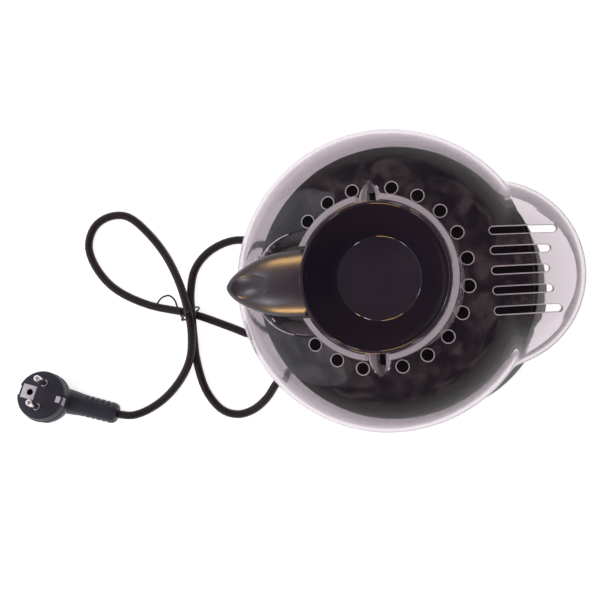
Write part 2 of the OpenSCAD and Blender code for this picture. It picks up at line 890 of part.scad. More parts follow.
module fan_housing() {
    color([0.16, 0.15, 0.15]) at_axis()
        difference() {
            union() {
                rotate_extrude()
                    polygon([
                        [0, fan_z], [fan_r, fan_z], [fan_r, fan_top], [fan_mouth_r, fan_top],
                        [fan_mouth_r, fan_top - fan_t], [fan_r - fan_t, fan_top - fan_t],
                        [fan_r - fan_t, fan_z + fan_t], [0, fan_z + fan_t]
                    ]);
                for (a = post_angles)
                    rotate(a) {
                        translate([post_pcr, 0, fan_z])
                            cylinder(r = post_r + 1, h = fan_t);
                        translate([fan_r - fan_t / 2, -post_r, fan_z])
                            cube([post_pcr - fan_r + fan_t / 2, 2 * post_r, fan_t]);
                    }
            }
            difference() {
                translate([0, 0, fan_z - 1])
                    tube(inlet_r, hub_plate_r, fan_t + 2);
                for (a = [30, 150, 270])
                    rotate(a)
                        translate([0, -arm_w / 2, fan_z - 2])
                            cube([fan_r, arm_w, fan_t + 4]);
            }
            translate([0, 0, fan_z - 1])
                cylinder(r = bush_r + 0.5, h = fan_t + 2);
            for (s = [-1, 1])
                translate([s * motor_screw_pcr, 0, fan_z - 1])
                    cylinder(r = motor_screw_r + 0.2, h = fan_t + 2);
            for (a = post_angles)
                translate(polar(post_pcr, a, fan_z - 1))
                    cylinder(r = screw_r + 0.2, h = fan_t + 2);
        }
}

module housing_screws() {
    color([0.7, 0.7, 0.72]) at_axis()
        for (a = post_angles)
            translate(polar(post_pcr, a, fan_z + fan_t + seat))
                slotted_screw(screw_r, screw_l, screw_head_r, screw_head_h);
}

module fan_impeller() {
    hub_r = 6;
    color([0.75, 0.73, 0.68]) at_axis()
        translate([0, 0, impeller_z])
            difference() {
                union() {
                    cylinder(r = hub_r, h = impeller_h);
                    translate([0, 0, impeller_h - impeller_disc_t])
                        cylinder(r = impeller_r, h = impeller_disc_t);
                    for (i = [0 : blade_n - 1])
                        rotate(360 * i / blade_n)
                            translate([impeller_r - 22, 0, 0])
                                rotate(blade_lean)
                                    translate([0, -blade_t / 2, 0])
                                        cube([21, blade_t, impeller_h - e]);
                }
                translate([0, 0, -1])
                    cylinder(r = shaft_r + run, h = impeller_h - 2);
            }
}

module motor_can() {
    color([0.66, 0.66, 0.68]) at_axis()
        translate([0, 0, motor_z])
            difference() {
                cylinder(r = motor_r, h = motor_l);
                translate([0, 0, -1])
                    cylinder(r = motor_r - motor_t, h = motor_l - motor_t - 2 + 1);
                cylinder(r = bush_r + seat, h = far);
                for (s = [-1, 1])
                    translate([s * motor_screw_pcr, 0, 0])
                        cylinder(r = motor_screw_r + bore_gap, h = far);
            }
}

module motor_end_cap() {
    color([0.10, 0.10, 0.10]) at_axis()
        translate([0, 0, motor_z - seat - cap_h])
            difference() {
                union() {
                    cylinder(r = motor_r, h = cap_h);
                    cylinder(r = motor_r - motor_t - seat, h = cap_h + 2);
                }
                translate([0, 0, -1])
                    cylinder(r = bush_r + seat, h = cap_h + 4);
            }
}

module motor_bearings() {
    color([0.72, 0.55, 0.30]) at_axis()
        for (z = [motor_z - cap_h, motor_top - bush_h])
            translate([0, 0, z])
                tube(bush_r, shaft_r + run, bush_h);
}

module motor_magnets() {
    color([0.25, 0.25, 0.27]) at_axis()
        translate([0, 0, motor_z + 4])
            difference() {
                tube(magnet_r, magnet_r - magnet_t, armature_h);
                translate([0, 0, -1])
                    bar([magnet_gap_w, far, far]);
            }
}

module armature() {
    color([0.62, 0.38, 0.20]) at_axis()
        translate([0, 0, motor_z + 4])
            difference() {
                union() {
                    cylinder(r = armature_r, h = armature_h);
                    translate([0, 0, armature_h - e])
                        cylinder(r = armature_r - 4, h = 2);
                }
                translate([0, 0, -1])
                    cylinder(r = shaft_r + run, h = far);
                for (i = [0 : 4])
                    rotate(72 * i)
                        translate([armature_r - 3.5, -0.8, -1])
                            cube([6, 1.6, armature_h + 2]);
            }
}

module motor_shaft() {
    color([0.80, 0.80, 0.82]) at_axis()
        translate([0, 0, motor_z - cap_h - 0.5])
            cylinder(r = shaft_r, h = impeller_z + impeller_h - 4 - motor_z + cap_h);
}

module motor_screws() {
    color([0.7, 0.7, 0.72]) at_axis()
        for (s = [-1, 1])
            translate([s * motor_screw_pcr, 0, fan_z + fan_t + seat])
                slotted_screw(motor_screw_r, fan_t + 3.5, 2.3, 1.2);
}

module rectifier_board() {
    color([0.20, 0.42, 0.22]) at_axis()
        translate([0, 0, board_z])
            tube(motor_r - 1, shaft_r + 2, board_t);
}

module rectifier_diodes() {
    color([0.15, 0.15, 0.16]) at_axis()
        for (i = [0 : 3])
            rotate(90 * i)
                translate([diode_pcr, -diode_l / 2, board_z - seat - diode_r])
                    rotate([-90, 0, 0])
                        cylinder(r = diode_r, h = diode_l);
}

// ---- Switch, terminal block and leads ----

module switch_housing() {
    back = -pad_y + switch_depth;
    color([0.08, 0.08, 0.08]) at_axis()
        difference() {
            union() {
                translate([-switch_w / 2, -pad_y - seat - e, switch_z - switch_h / 2])
                    cube([switch_w, switch_depth, switch_h]);
                translate([
                    -switch_w / 2 - switch_flange, -pad_y - seat - switch_flange_t,
                    switch_z - switch_h / 2 - switch_flange
                ])
                    cube([switch_w + 2 * switch_flange, switch_flange_t, switch_h + 2 * switch_flange]);
                for (s = [-1, 1])
                    translate([s * 3 - 0.4, back - e, switch_z - 3])
                        cube([0.8, 5, 6]);
            }
            translate([-switch_w / 2 + switch_wall, -pad_y - 5, switch_z - switch_h / 2 + switch_wall])
                cube([switch_w - 2 * switch_wall, switch_depth - 4 + 5, switch_h - 2 * switch_wall]);
            translate([-switch_w / 2 - 1, -rocker_pivot_y, switch_z])
                rotate([0, 90, 0])
                    cylinder(r = rocker_pivot_r + 0.06, h = switch_w + 2);
        }
}

// The rocker from the side: two faces that meet in a shallow valley over the pivot
module rocker_section() {
    h = rocker_h / 2;
    polygon([
        [-5.6, -h], [-4.6, 0], [-5.6, h], [1.6, h - 1.5], [5, 2.5], [5, -2.5], [1.6, -h + 1.5]
    ]);
}

module switch_rocker() {
    color([0.62, 0.06, 0.05]) at_axis()
        translate([0, -rocker_pivot_y, switch_z])
            rotate([-rocker_tilt, 0, 0]) {
                translate([-rocker_w / 2, 0, 0])
                    rotate([90, 0, 90])
                        linear_extrude(rocker_w)
                            rocker_section();
                translate([-switch_w / 2 + 0.4, 0, 0])
                    rotate([0, 90, 0])
                        cylinder(r = rocker_pivot_r, h = switch_w - 0.8);
            }
}

module terminal_block() {
    color([0.88, 0.86, 0.80]) at_axis()
        rotate(block_angle)
            translate([block_r, 0, plate_top + seat])
                difference() {
                    bar([block_size[1], block_size[0], block_size[2]]);
                    for (s = [-1, 0, 1])
                        translate([-2, s * 5.5, block_size[2] - 4])
                            cylinder(r = 1.6, h = 5);
                }
}

module internal_leads() {
    block = polar(block_r, block_angle, plate_top + 6);
    side = block_size[1] / 2 + lead_r;
    contact_y = -pad_y + switch_depth + 5.2;
    sensor = sensor_r + 9;
    color([0.45, 0.12, 0.10]) at_axis() {
        soft_wire([
            block + polar(side, block_angle), block + polar(side + 6, block_angle, 1),
            polar(gland_out_r - body_t - 8, gland_angle, gland_z)
        ], lead_r);
        soft_wire([
            block + polar(-side, block_angle), polar(40, 200, 20), polar(44, 235, 30),
            [-8, contact_y + 8, switch_z - 2], [-3, contact_y, switch_z]
        ], lead_r);
        soft_wire([
            block + polar(-2, block_angle, 0.5), block + polar(-2, block_angle, 9),
            polar(fan_r + 5, 192, 40), polar(fan_r + 5, 190, 80),
            polar(sensor, 185, thermostat_z - 20), polar(sensor, 160, thermostat_z),
            polar(sensor, 130, thermostat_z), polar(sensor, 100, thermostat_z)
        ], lead_r);
        soft_wire([
            [3, contact_y, switch_z], [6, contact_y + 9, switch_z], [16, -38, board_z + 6],
            [13, -22, board_z - 4], [9, 5 - motor_r, board_z - lead_r - 0.3]
        ], lead_r);
    }
}

// ---- Cord and plug ----

module cord_gland() {
    color([0.07, 0.07, 0.07]) at_axis()
        rotate(gland_angle)
            translate([gland_out_r, 0, gland_z])
                rotate([0, 90, 0]) {
                    translate([0, 0, -body_t - 7])
                        cylinder(r = gland_r, h = body_t + 7 + 2);
                    translate([0, 0, -body_t - 7])
                        cylinder(r = gland_collar_r - 0.8, h = 3);
                    translate([0, 0, 0.8])
                        cylinder(r = gland_collar_r, h = gland_collar_t);
                    translate([0, 0, gland_collar_t])
                        cylinder(r1 = gland_r + 0.6, r2 = gland_tip_r, h = gland_len - gland_collar_t);
                }
}

module mains_cord() {
    color([0.16, 0.15, 0.17]) at_axis()
        swept(smoothed(cord_route), cord_d / 2, cord_sides, polar(1, gland_angle), -plug_axis);
}

module cord_tie() {
    color([0.08, 0.08, 0.08]) at_axis()
        soft_wire(tie_path, tie_wire_r);
}

// Places a part of the plug: x runs towards the cord and z out of the face
module plug_frame() {
    translate(plug_at)
        rotate([0, 0, plug_angle])
            rotate([-plug_lean, 0, 0])
                translate([0, 0, plug_ball_drop])
                    children();
}

module plug_neck() {
    translate(plug_at)
        rotate([0, 0, plug_angle])
            difference() {
                translate([plug_neck_root, 0, plug_neck_z[0]])
                    rotate([0, 90 + plug_neck_dip, 0])
                        cylinder(r1 = plug_neck_r[0], r2 = plug_neck_r[1], h = plug_neck_l - plug_neck_root);
                for (i = [0 : plug_rib_n - 1])
                    translate([plug_neck_l - 8 - i * plug_rib_pitch, 0, plug_neck_z[1] + 0.4])
                        rotate([0, 90, 0])
                            tube(plug_neck_r[0] + 4, plug_neck_r[1] - 1.6, plug_rib_w);
            }
}

module plug_body() {
    face_depth = 34;
    color([0.17, 0.17, 0.21]) at_axis()
        difference() {
            union() {
                plug_frame()
                    intersection() {
                        translate([0, 0, -face_depth])
                            cylinder(d = plug_d + 1.6, h = face_depth);
                        translate([0, 0, -plug_ball_drop])
                            sphere(r = plug_ball_r);
                    }
                plug_neck();
            }
            plug_frame() {
                for (s = [-1, 1])
                    translate([0, s * pin_pitch / 2, -pin_root - seat])
                        cylinder(r = pin_root_r + seat, h = pin_root + seat + 1);
                translate([earth_hole_x, 0, -15])
                    cylinder(r = pin_d / 2, h = 20);
                for (s = [-1, 1])
                    translate([s * plug_d / 2, 0, -clip_floor])
                        bar([2 * clip_t + 5, clip_w + 1, clip_floor + 3]);
            }
        }
}

module plug_pins() {
    color([0.78, 0.78, 0.80]) at_axis()
        plug_frame()
            for (s = [-1, 1])
                translate([0, s * pin_pitch / 2, 0]) {
                    translate([0, 0, -pin_root])
                        cylinder(r = pin_root_r, h = pin_root + pin_shoulder + e);
                    translate([0, 0, pin_shoulder])
                        cylinder(d = pin_d, h = pin_l - pin_tip - pin_shoulder);
                    translate([0, 0, pin_l - pin_tip - e])
                        cylinder(r1 = pin_d / 2, r2 = pin_d / 2 - pin_tip, h = pin_tip);
                }
}

module plug_earth_clips() {
    color([0.80, 0.80, 0.82]) at_axis()
        plug_frame()
            for (s = [-1, 1])
                translate([s * (plug_d / 2 - clip_t - 2), 0, -clip_floor + seat]) {
                    bar([clip_t, clip_w, clip_l]);
                    translate([s * 0.6, 0, 3.6])
                        bar([clip_t, clip_w - 2, 3]);
                }
}

body_shell();
base_plate();
rubber_feet();
base_screws();
cover();
measuring_cup();
popping_chamber();
chamber_screws();
heater_shroud();
mica_cross();
heater_coil();
thermostat();
thermal_fuse();
fan_housing();
housing_screws();
fan_impeller();
motor_can();
motor_end_cap();
motor_bearings();
motor_magnets();
armature();
motor_shaft();
motor_screws();
rectifier_board();
rectifier_diodes();
terminal_block();
internal_leads();
switch_housing();
switch_rocker();
cord_gland();
mains_cord();
cord_tie();
plug_body();
plug_pins();
plug_earth_clips();
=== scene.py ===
"""Finishes and fine shapes of a hot-air popcorn popper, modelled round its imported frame."""

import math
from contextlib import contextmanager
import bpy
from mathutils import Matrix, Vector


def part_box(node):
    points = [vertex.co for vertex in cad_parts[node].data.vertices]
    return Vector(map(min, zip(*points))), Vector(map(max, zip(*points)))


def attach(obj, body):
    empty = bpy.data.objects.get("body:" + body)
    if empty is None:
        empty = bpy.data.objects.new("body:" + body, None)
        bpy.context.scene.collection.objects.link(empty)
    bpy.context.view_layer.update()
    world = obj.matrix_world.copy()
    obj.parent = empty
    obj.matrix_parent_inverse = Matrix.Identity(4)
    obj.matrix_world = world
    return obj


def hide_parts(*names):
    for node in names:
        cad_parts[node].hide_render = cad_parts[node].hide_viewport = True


bl_info = {
    "name": "Popcorn Popper",
    "version": (1, 0, 0),
    "blender": (4, 5, 0),
    "location": "View3D > Sidebar > Popper",
    "description": "Models the clear cover, cup, body, cord and plug of a hot-air popcorn popper",
    "category": "Add Mesh",
}

import bpy
from bpy.props import FloatProperty, FloatVectorProperty, PointerProperty
from mathutils import Euler, Matrix, Vector

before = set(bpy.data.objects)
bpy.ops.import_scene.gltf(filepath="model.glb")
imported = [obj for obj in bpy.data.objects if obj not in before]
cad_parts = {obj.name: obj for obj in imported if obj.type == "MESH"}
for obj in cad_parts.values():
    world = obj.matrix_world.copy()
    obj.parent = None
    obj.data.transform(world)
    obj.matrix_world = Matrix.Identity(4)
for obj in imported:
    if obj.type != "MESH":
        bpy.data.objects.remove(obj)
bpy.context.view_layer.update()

mm = 0.001
quarter = math.pi / 2
whole = 2 * math.pi

# Places that the frame gives
plate_low, plate_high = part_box("base_plate")
shell_low, shell_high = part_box("body_shell")
cover_low, cover_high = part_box("cover")
cup_low, cup_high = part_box("measuring_cup")
axis_x = (plate_low.x + plate_high.x) / 2
axis_foot = Vector((axis_x, 0, 0))
foot_r = shell_high.x - axis_x
foot_z = shell_low.z
deck_z = shell_high.z
bulb_r = cover_high.y
hood_reach = cover_high.x - axis_x
mouth_z = cover_low.z
collar_z = cover_high.z
cup_rim_z = cup_high.z
handle_reach = axis_x - cup_low.x

# Sizes that the levels follow from
fit = 0.3 * mm
cover_wall = 2.2 * mm
deck_over_ledge = 13 * mm
spigot_h = 9 * mm
foot_chamfer = 4 * mm
bulb_rise = 42 * mm
crown_rise = 40 * mm

# Levels and radii
ledge_z = deck_z - deck_over_ledge
rim_z = ledge_z + spigot_h
rim_r = bulb_r - 1 * mm
cover_z = ledge_z + fit
bulb_z = ledge_z + bulb_rise
crown_z = bulb_z + crown_rise
belly_in = bulb_r - rim_r - 0.2 * mm
belly_r = (belly_in ** 2 + bulb_rise ** 2) / (2 * belly_in)


# ---- Properties ----

def length(label, default, about):
    """A length in metres"""
    return FloatProperty(name=label, description=about, default=default, min=0.0, unit="LENGTH")


def colour(label, default, about):
    """A colour in linear light"""
    return FloatVectorProperty(
        name=label, description=about, default=default, size=3, min=0.0, max=1.0, subtype="COLOR"
    )


class PopperSizes(bpy.types.PropertyGroup):
    """Sizes of the fine shapes"""

    wall: length("Cover wall", cover_wall, "Thickness of the clear cover")
    bead: length("Hole bead", 0.3 * mm, "Radius of the bead round each hole of the cover")
    soft_edge: length("Soft edge", 0.8 * mm, "Radius of the moulded edges of the body")
    cord_width: length("Cord", 6.2 * mm, "Diameter of the mains cord")
    tie_wire: length("Tie", 0.7 * mm, "Radius of the tie's wire")


class PopperColours(bpy.types.PropertyGroup):
    """Colours of the finishes"""

    clear: colour("Clear plastic", (0.735, 0.69, 0.72), "Tint of the clear cover")
    cup: colour("Cup", (0.0070, 0.0058, 0.0110), "Glossy black of the measuring cup")
    body: colour("Body", (0.0075, 0.0052, 0.0075), "Black of the body shell")
    cord: colour("Cord", (0.016, 0.0095, 0.012), "Sheath of the mains cord")
    plug: colour("Plug", (0.024, 0.026, 0.040), "Blue-black of the plug")


# ---- Shading by expression ----

class Value:
    """A socket that carries a number or a vector, with Python's operators as nodes"""

    def __init__(self, finish, output):
        self.finish = finish
        self.output = output

    def maths(self, operation, *values):
        return self.finish.node("Math", {"operation": operation}, dict(enumerate(values)))

    def __add__(self, other):
        return self.maths("ADD", self, other)

    def __mul__(self, other):
        return self.maths("MULTIPLY", self, other)

    __radd__ = __add__
    __rmul__ = __mul__

    def clipped(self):
        return self.finish.node("Clamp", {}, {"Value": self})


class Finish:
    """A material, or the world, that is built by calls"""

    def __init__(self, name, kind="materials"):
        self.owner = getattr(bpy.data, kind).new(name)
        self.owner.use_nodes = True
        self.tree = self.owner.node_tree
        self.tree.nodes.clear()

    def node(self, kind, settings, inputs, output=0):
        """One node of a kind, with its settings, then its sockets' values or links; a ramp takes stops"""
        node = self.tree.nodes.new("ShaderNode" + kind)
        for name, value in settings.items():
            if name == "stops":
                self.set_stops(node.color_ramp, value)
            else:
                setattr(node, name, value)
        for name, value in inputs.items():
            if isinstance(value, Value):
                self.tree.links.new(value.output, node.inputs[name])
            else:
                node.inputs[name].default_value = value
        return Value(self, node.outputs[output])

    def set_stops(self, ramp, stops):
        while len(ramp.elements) < len(stops):
            ramp.elements.new(0.5)
        for element, (place, shade) in zip(ramp.elements, stops):
            element.position = place
            element.color = solid(shade)

    def place(self, source="Object"):
        return self.node("TexCoord", {}, {}, source)

    def ray(self, kind):
        """1 for rays of a kind, and 0 for the rest"""
        return self.node("LightPath", {}, {}, "Is " + kind + " Ray")

    def noise(self, scale, detail=3.0, rough=0.5, stretch=(1.0, 1.0, 1.0)):
        """Cloudy noise, from 0 to 1, that may be stretched along an axis"""
        where = self.node("Mapping", {}, {"Vector": self.place(), "Scale": stretch})
        return self.node(
            "TexNoise", {}, {"Vector": where, "Scale": scale, "Detail": detail, "Roughness": rough}
        )

    def ramp(self, value, *stops):
        return self.node("ValToRGB", {"stops": stops}, {"Fac": value})

    def blend(self, mask, first, second, how="MIX"):
        """Colour that goes from first to second with the mask"""
        inputs = {0: mask, 6: solid(first), 7: solid(second)}
        return self.node("Mix", {"data_type": "RGBA", "blend_type": how}, inputs, 2)

    def bump(self, height, distance, strength=1.0):
        return self.node("Bump", {}, {"Height": height, "Distance": distance, "Strength": strength})

    def surface(self, **inputs):
        """The main shader with its sockets named by keyword, joined to the output"""
        named = {}
        for key, value in inputs.items():
            named[key.replace("_", " ").title().replace("Ior", "IOR")] = value
        return self.finish_with(self.node("BsdfPrincipled", {}, named))

    def finish_with(self, shader, output="OutputMaterial"):
        """Joins a shader to the output and gives back the material, or the world"""
        out = self.tree.nodes.new("ShaderNode" + output)
        self.tree.links.new(shader.output, out.inputs["Surface"])
        return self.owner


def solid(value):
    """A colour with its alpha, or a link as it is"""
    return value if isinstance(value, Value) else (*value, 1.0)


def shaded(tone, amount):
    """A colour made lighter or darker by a factor"""
    return tuple(min(1.0, channel * amount) for channel in tone)


# ---- Finishes ----

def clear_finish():
    """Clear moulded plastic with faint haze and rubbed marks"""
    tone = tuple(bpy.context.scene.popper_colours.clear)
    f = Finish("clear_plastic")
    haze = f.noise(38.0, 4.0, 0.6)
    rubs = f.noise(260.0, 2.0, 0.5, (1.0, 0.15, 1.0))
    return f.surface(
        base_color=f.blend(haze, shaded(tone, 0.97), tone),
        roughness=0.02 + 0.05 * haze * rubs,
        ior=1.49,
        transmission_weight=1.0,
        normal=f.bump(haze, 0.12 * mm, 0.35),
    )


def painted_highlight_finish():
    """Clear plastic made whiter and less clear: a painted highlight where the edges of beads, collar lip
    and notch walls catch the light
    """
    f = Finish("clear_painted_highlight")
    haze = f.noise(120.0, 4.0, 0.6)
    return f.surface(
        # painted highlight: a base colour much lighter than the clear tint, with less transmission, so
        # these edges look lit
        base_color=f.blend(haze, (0.74, 0.68, 0.71), (0.95, 0.89, 0.92)),
        roughness=0.22 + 0.3 * haze,
        ior=1.49,
        transmission_weight=0.45,
        normal=f.bump(haze, 0.2 * mm, 0.5),
    )


def gloss_finish(name, tone, rough, grain=900.0, depth=0.01 * mm, specular=0.5):
    """Moulded plastic with handling marks in its gloss and a fine surface grain"""
    f = Finish(name)
    marks = f.noise(55.0, 5.0, 0.62)
    fine = f.noise(grain, 2.0, 0.5)
    return f.surface(
        base_color=f.blend(marks, shaded(tone, 0.85), shaded(tone, 1.2)),
        roughness=rough * (0.75 + 0.6 * marks),
        specular_ior_level=specular,
        normal=f.bump(fine, depth),
    )


def metal_finish(name, tone, rough, stretch=(1.0, 1.0, 1.0), scale=300.0):
    """Plain metal with a brushed or rolled grain"""
    f = Finish(name)
    grain = f.noise(scale, 3.0, 0.55, stretch)
    stain = f.noise(24.0, 4.0, 0.6)
    return f.surface(
        base_color=f.blend(stain, shaded(tone, 0.86), tone),
        metallic=1.0,
        roughness=rough * (0.7 + 0.6 * grain),
        normal=f.bump(grain, 0.02 * mm, 0.5),
    )


def rough_finish(name, tone, rough, scale=400.0, depth=0.05 * mm):
    """A dull material, such as rubber, mica or board"""
    f = Finish(name)
    grain = f.noise(scale, 4.0, 0.6)
    return f.surface(
        base_color=f.blend(grain, shaded(tone, 0.8), shaded(tone, 1.15)),
        roughness=rough * (0.9 + 0.2 * grain),
        normal=f.bump(grain, depth),
    )


NODE_FINISHES = {
    "base_plate": "base", "rubber_feet": "rubber", "base_screws": "steel", "popping_chamber": "aluminium",
    "chamber_screws": "base", "heater_shroud": "tinplate", "mica_cross": "mica", "heater_coil": "nichrome",
    "thermostat": "ceramic", "thermal_fuse": "ceramic", "fan_housing": "fan_black",
    "housing_screws": "steel", "fan_impeller": "fan_grey", "motor_can": "tinplate",
    "motor_end_cap": "base", "motor_bearings": "brass", "motor_magnets": "ferrite",
    "armature": "copper", "motor_shaft": "steel", "motor_screws": "steel",
    "rectifier_board": "board", "rectifier_diodes": "fan_black", "terminal_block": "ceramic",
    "internal_leads": "lead", "switch_housing": "body", "switch_rocker": "rocker", "cord_gland": "gland",
    "plug_pins": "nickel", "plug_earth_clips": "nickel", "body_shell": "body", "cover": "clear",
    "measuring_cup": "cup", "plug_body": "plug", "mains_cord": "sheath", "cord_tie": "tie",
}


def make_finishes():
    tones = bpy.context.scene.popper_colours
    return {
        "clear": clear_finish(),
        # "edge" is the painted highlight: whiter clear plastic for the beads, collar lip and notch walls
        "edge": painted_highlight_finish(),
        "cup": gloss_finish("cup_plastic", tuple(tones.cup), 0.07),
        "grip": gloss_finish("cup_grip", tuple(tones.cup), 0.30),
        "body": gloss_finish("body_plastic", tuple(tones.body), 0.5, 1200.0, 0.007 * mm, 0.16),
        "plug": gloss_finish("plug_plastic", tuple(tones.plug), 0.42, 1400.0, 0.03 * mm),
        "sheath": gloss_finish("cord_sheath", tuple(tones.cord), 0.42, 1200.0, 0.02 * mm, 0.4),
        "gland": rough_finish("gland_rubber", (0.018, 0.016, 0.020), 0.5),
        "rocker": gloss_finish("rocker_plastic", (0.02, 0.018, 0.02), 0.3),
        "base": rough_finish("base_plastic", (0.020, 0.018, 0.020), 0.5),
        "rubber": rough_finish("foot_rubber", (0.012, 0.012, 0.013), 0.75),
        "tie": gloss_finish("tie_plastic", (0.02, 0.018, 0.02), 0.4),
        "fan_black": rough_finish("fan_plastic", (0.03, 0.028, 0.028), 0.45),
        "fan_grey": rough_finish("impeller_plastic", (0.52, 0.50, 0.45), 0.5),
        "ceramic": rough_finish("ceramic", (0.72, 0.70, 0.64), 0.45),
        "mica": rough_finish("mica", (0.46, 0.38, 0.27), 0.4, 90.0),
        "board": rough_finish("board", (0.06, 0.13, 0.05), 0.5),
        "lead": gloss_finish("lead_sheath", (0.25, 0.04, 0.03), 0.4),
        "ferrite": rough_finish("ferrite", (0.05, 0.05, 0.055), 0.6),
        "steel": metal_finish("screw_steel", (0.62, 0.62, 0.64), 0.3),
        "contact": metal_finish("contact_plate", (0.92, 0.91, 0.92), 0.55),
        "nickel": metal_finish("contact_nickel", (0.83, 0.82, 0.80), 0.2),
        "tinplate": metal_finish("tinplate", (0.60, 0.60, 0.60), 0.32, (1.0, 1.0, 0.04)),
        "aluminium": metal_finish("aluminium", (0.78, 0.78, 0.79), 0.28, (1.0, 1.0, 0.03)),
        "nichrome": metal_finish("heater_wire", (0.36, 0.33, 0.30), 0.4),
        "brass": metal_finish("bearing_brass", (0.70, 0.52, 0.26), 0.35),
        "copper": metal_finish("winding_copper", (0.65, 0.30, 0.16), 0.35, (1.0, 1.0, 0.1)),
    }


# ---- Modelling by hand ----

def deselect():
    bpy.ops.object.select_all(action="DESELECT")


def only(piece):
    """Selects one piece and makes it the active one"""
    deselect()
    piece.select_set(True)
    bpy.context.view_layer.objects.active = piece
    return piece


def settle(name):
    """Names the object that was just added, and puts its place into its mesh"""
    piece = bpy.context.object
    piece.name = name
    piece.data.name = name
    only(piece)
    bpy.ops.object.transform_apply(location=True, rotation=True, scale=True)
    return piece


def extrude(step):
    """Pulls what is selected out along a step, in edit mode"""
    bpy.ops.mesh.extrude_region_move(TRANSFORM_OT_translate={"value": step})


def drawn(name, points, closed=False):
    """An object whose mesh is a line of edges, drawn by extruding one vertex from point to point"""
    deselect()
    bpy.ops.mesh.primitive_plane_add(size=2 * mm, location=(0, 0, 0), enter_editmode=True)
    bpy.ops.mesh.merge(type="CENTER")
    bpy.ops.transform.translate(value=points[0])
    for start, end in zip(points, points[1:]):
        extrude(Vector(end) - Vector(start))
    if closed:
        bpy.ops.mesh.select_all(action="SELECT")
        bpy.ops.mesh.edge_face_add()
    bpy.ops.object.mode_set(mode="OBJECT")
    return settle(name)


@contextmanager
def editing(piece):
    """Edit mode on one piece, with all of its mesh selected"""
    only(piece)
    bpy.ops.object.mode_set(mode="EDIT")
    bpy.ops.mesh.select_all(action="SELECT")
    yield
    bpy.ops.object.mode_set(mode="OBJECT")


def tidy_skin(piece):
    """Merges doubles and turns all faces outwards"""
    with editing(piece):
        bpy.ops.mesh.remove_doubles(threshold=0.001 * mm)
        bpy.ops.mesh.dissolve_degenerate(threshold=0.001 * mm)
        bpy.ops.mesh.normals_make_consistent(inside=False)
    return piece


def spun(name, section, steps, placing):
    """A solid turned from a section of (radius, height) points, and put in its place by a matrix"""
    piece = drawn(name, [(r, 0, z) for r, z in section])
    with editing(piece):
        bpy.ops.mesh.spin(steps=steps, angle=whole, center=(0, 0, 0), axis=(0, 0, 1))
    return placed(tidy_skin(piece), placing)


def placed(piece, placing):
    """Puts a piece in its place by a matrix, and the place into its mesh"""
    piece.matrix_world = placing
    only(piece)
    bpy.ops.object.transform_apply(location=True, rotation=True, scale=True)
    return piece


def in_mm(line):
    """A section of (radius, height) points that is written in millimetres"""
    return [(r * mm, z * mm) for r, z in line]


def turned(name, section, steps, at=(0.0, 0.0)):
    """A solid turned about an upright axis at an axis-centred place"""
    return spun(name, section, steps, Matrix.Translation((axis_x + at[0], at[1], 0)))


def copied(source):
    """A second object with a mesh of its own"""
    copy = source.copy()
    copy.data = source.data.copy()
    bpy.context.scene.collection.objects.link(copy)
    return copy


def softened(node, name, width, segments=2, angle=30):
    """A copy of a node with its edges rounded"""
    piece = copied(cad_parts[node])
    piece.name = name
    piece.data.name = name
    with editing(piece):
        bpy.ops.mesh.remove_doubles(threshold=0.002 * mm)
        bpy.ops.mesh.dissolve_limited(angle_limit=math.radians(1))
    rounded(piece, width, segments, angle)
    return smooth(piece, 30)


def block(name, centre, size):
    deselect()
    bpy.ops.mesh.primitive_cube_add(size=1, location=centre, scale=size)
    return settle(name)


def rod(name, centre, radius, height, sides=64):
    """An upright cylinder whose middle is at a place"""
    deselect()
    bpy.ops.mesh.primitive_cylinder_add(vertices=sides, radius=radius, depth=height, location=centre)
    return settle(name)


def ball(name, centre, radius, segments=128):
    """A sphere with half as many rings as segments"""
    deselect()
    bpy.ops.mesh.primitive_uv_sphere_add(
        segments=segments, ring_count=segments // 2, radius=radius, location=centre
    )
    return settle(name)


def modified(piece, kind, **settings):
    """Adds a modifier with its settings and applies it"""
    only(piece)
    modifier = piece.modifiers.new(kind.lower(), kind)
    for name, value in settings.items():
        setattr(modifier, name, value)
    bpy.ops.object.modifier_apply(modifier=modifier.name)
    return piece


def combined(piece, other, operation):
    """A boolean of two pieces, after which the other is deleted"""
    modified(
        piece, "BOOLEAN", operation=operation, object=other, solver="MANIFOLD", material_mode="TRANSFER"
    )
    bpy.data.objects.remove(other)
    return piece


def cut(piece, tool, placing=Matrix.Identity(4)):
    """Takes a tool away from a piece, after the tool is put in its place by a matrix"""
    return combined(piece, placed(tool, placing), "DIFFERENCE")


def joined(pieces):
    """Several objects as one, under the first one's name"""
    only(pieces[0])
    for piece in pieces:
        piece.select_set(True)
    bpy.ops.object.join()
    return pieces[0]


def rounded(piece, width, segments=3, angle=35):
    return modified(
        piece, "BEVEL", width=width, segments=segments, limit_method="ANGLE",
        angle_limit=math.radians(angle),
    )


def smooth(piece, angle=40):
    only(piece)
    bpy.ops.object.shade_smooth_by_angle(angle=math.radians(angle))
    return piece


def dressed(piece, finish):
    """A piece with one finish all over"""
    piece.data.materials.clear()
    piece.data.materials.append(finish)
    return piece


def ready(piece, body, finish, slot, *nodes):
    """The last step for each piece: its finish, its body and the nodes that it stands for"""
    if len(piece.data.materials) < 2:
        dressed(piece, finish)
    if nodes:
        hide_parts(*nodes)
    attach(piece, body)
    return piece


def arc(centre, radius, start, end, count):
    """Points of (radius, height) round a centre, from one angle off the upright to another"""
    angles = [start + (end - start) * i / count for i in range(count + 1)]
    return [(centre[0] + radius * math.sin(a), centre[1] + radius * math.cos(a)) for a in angles]


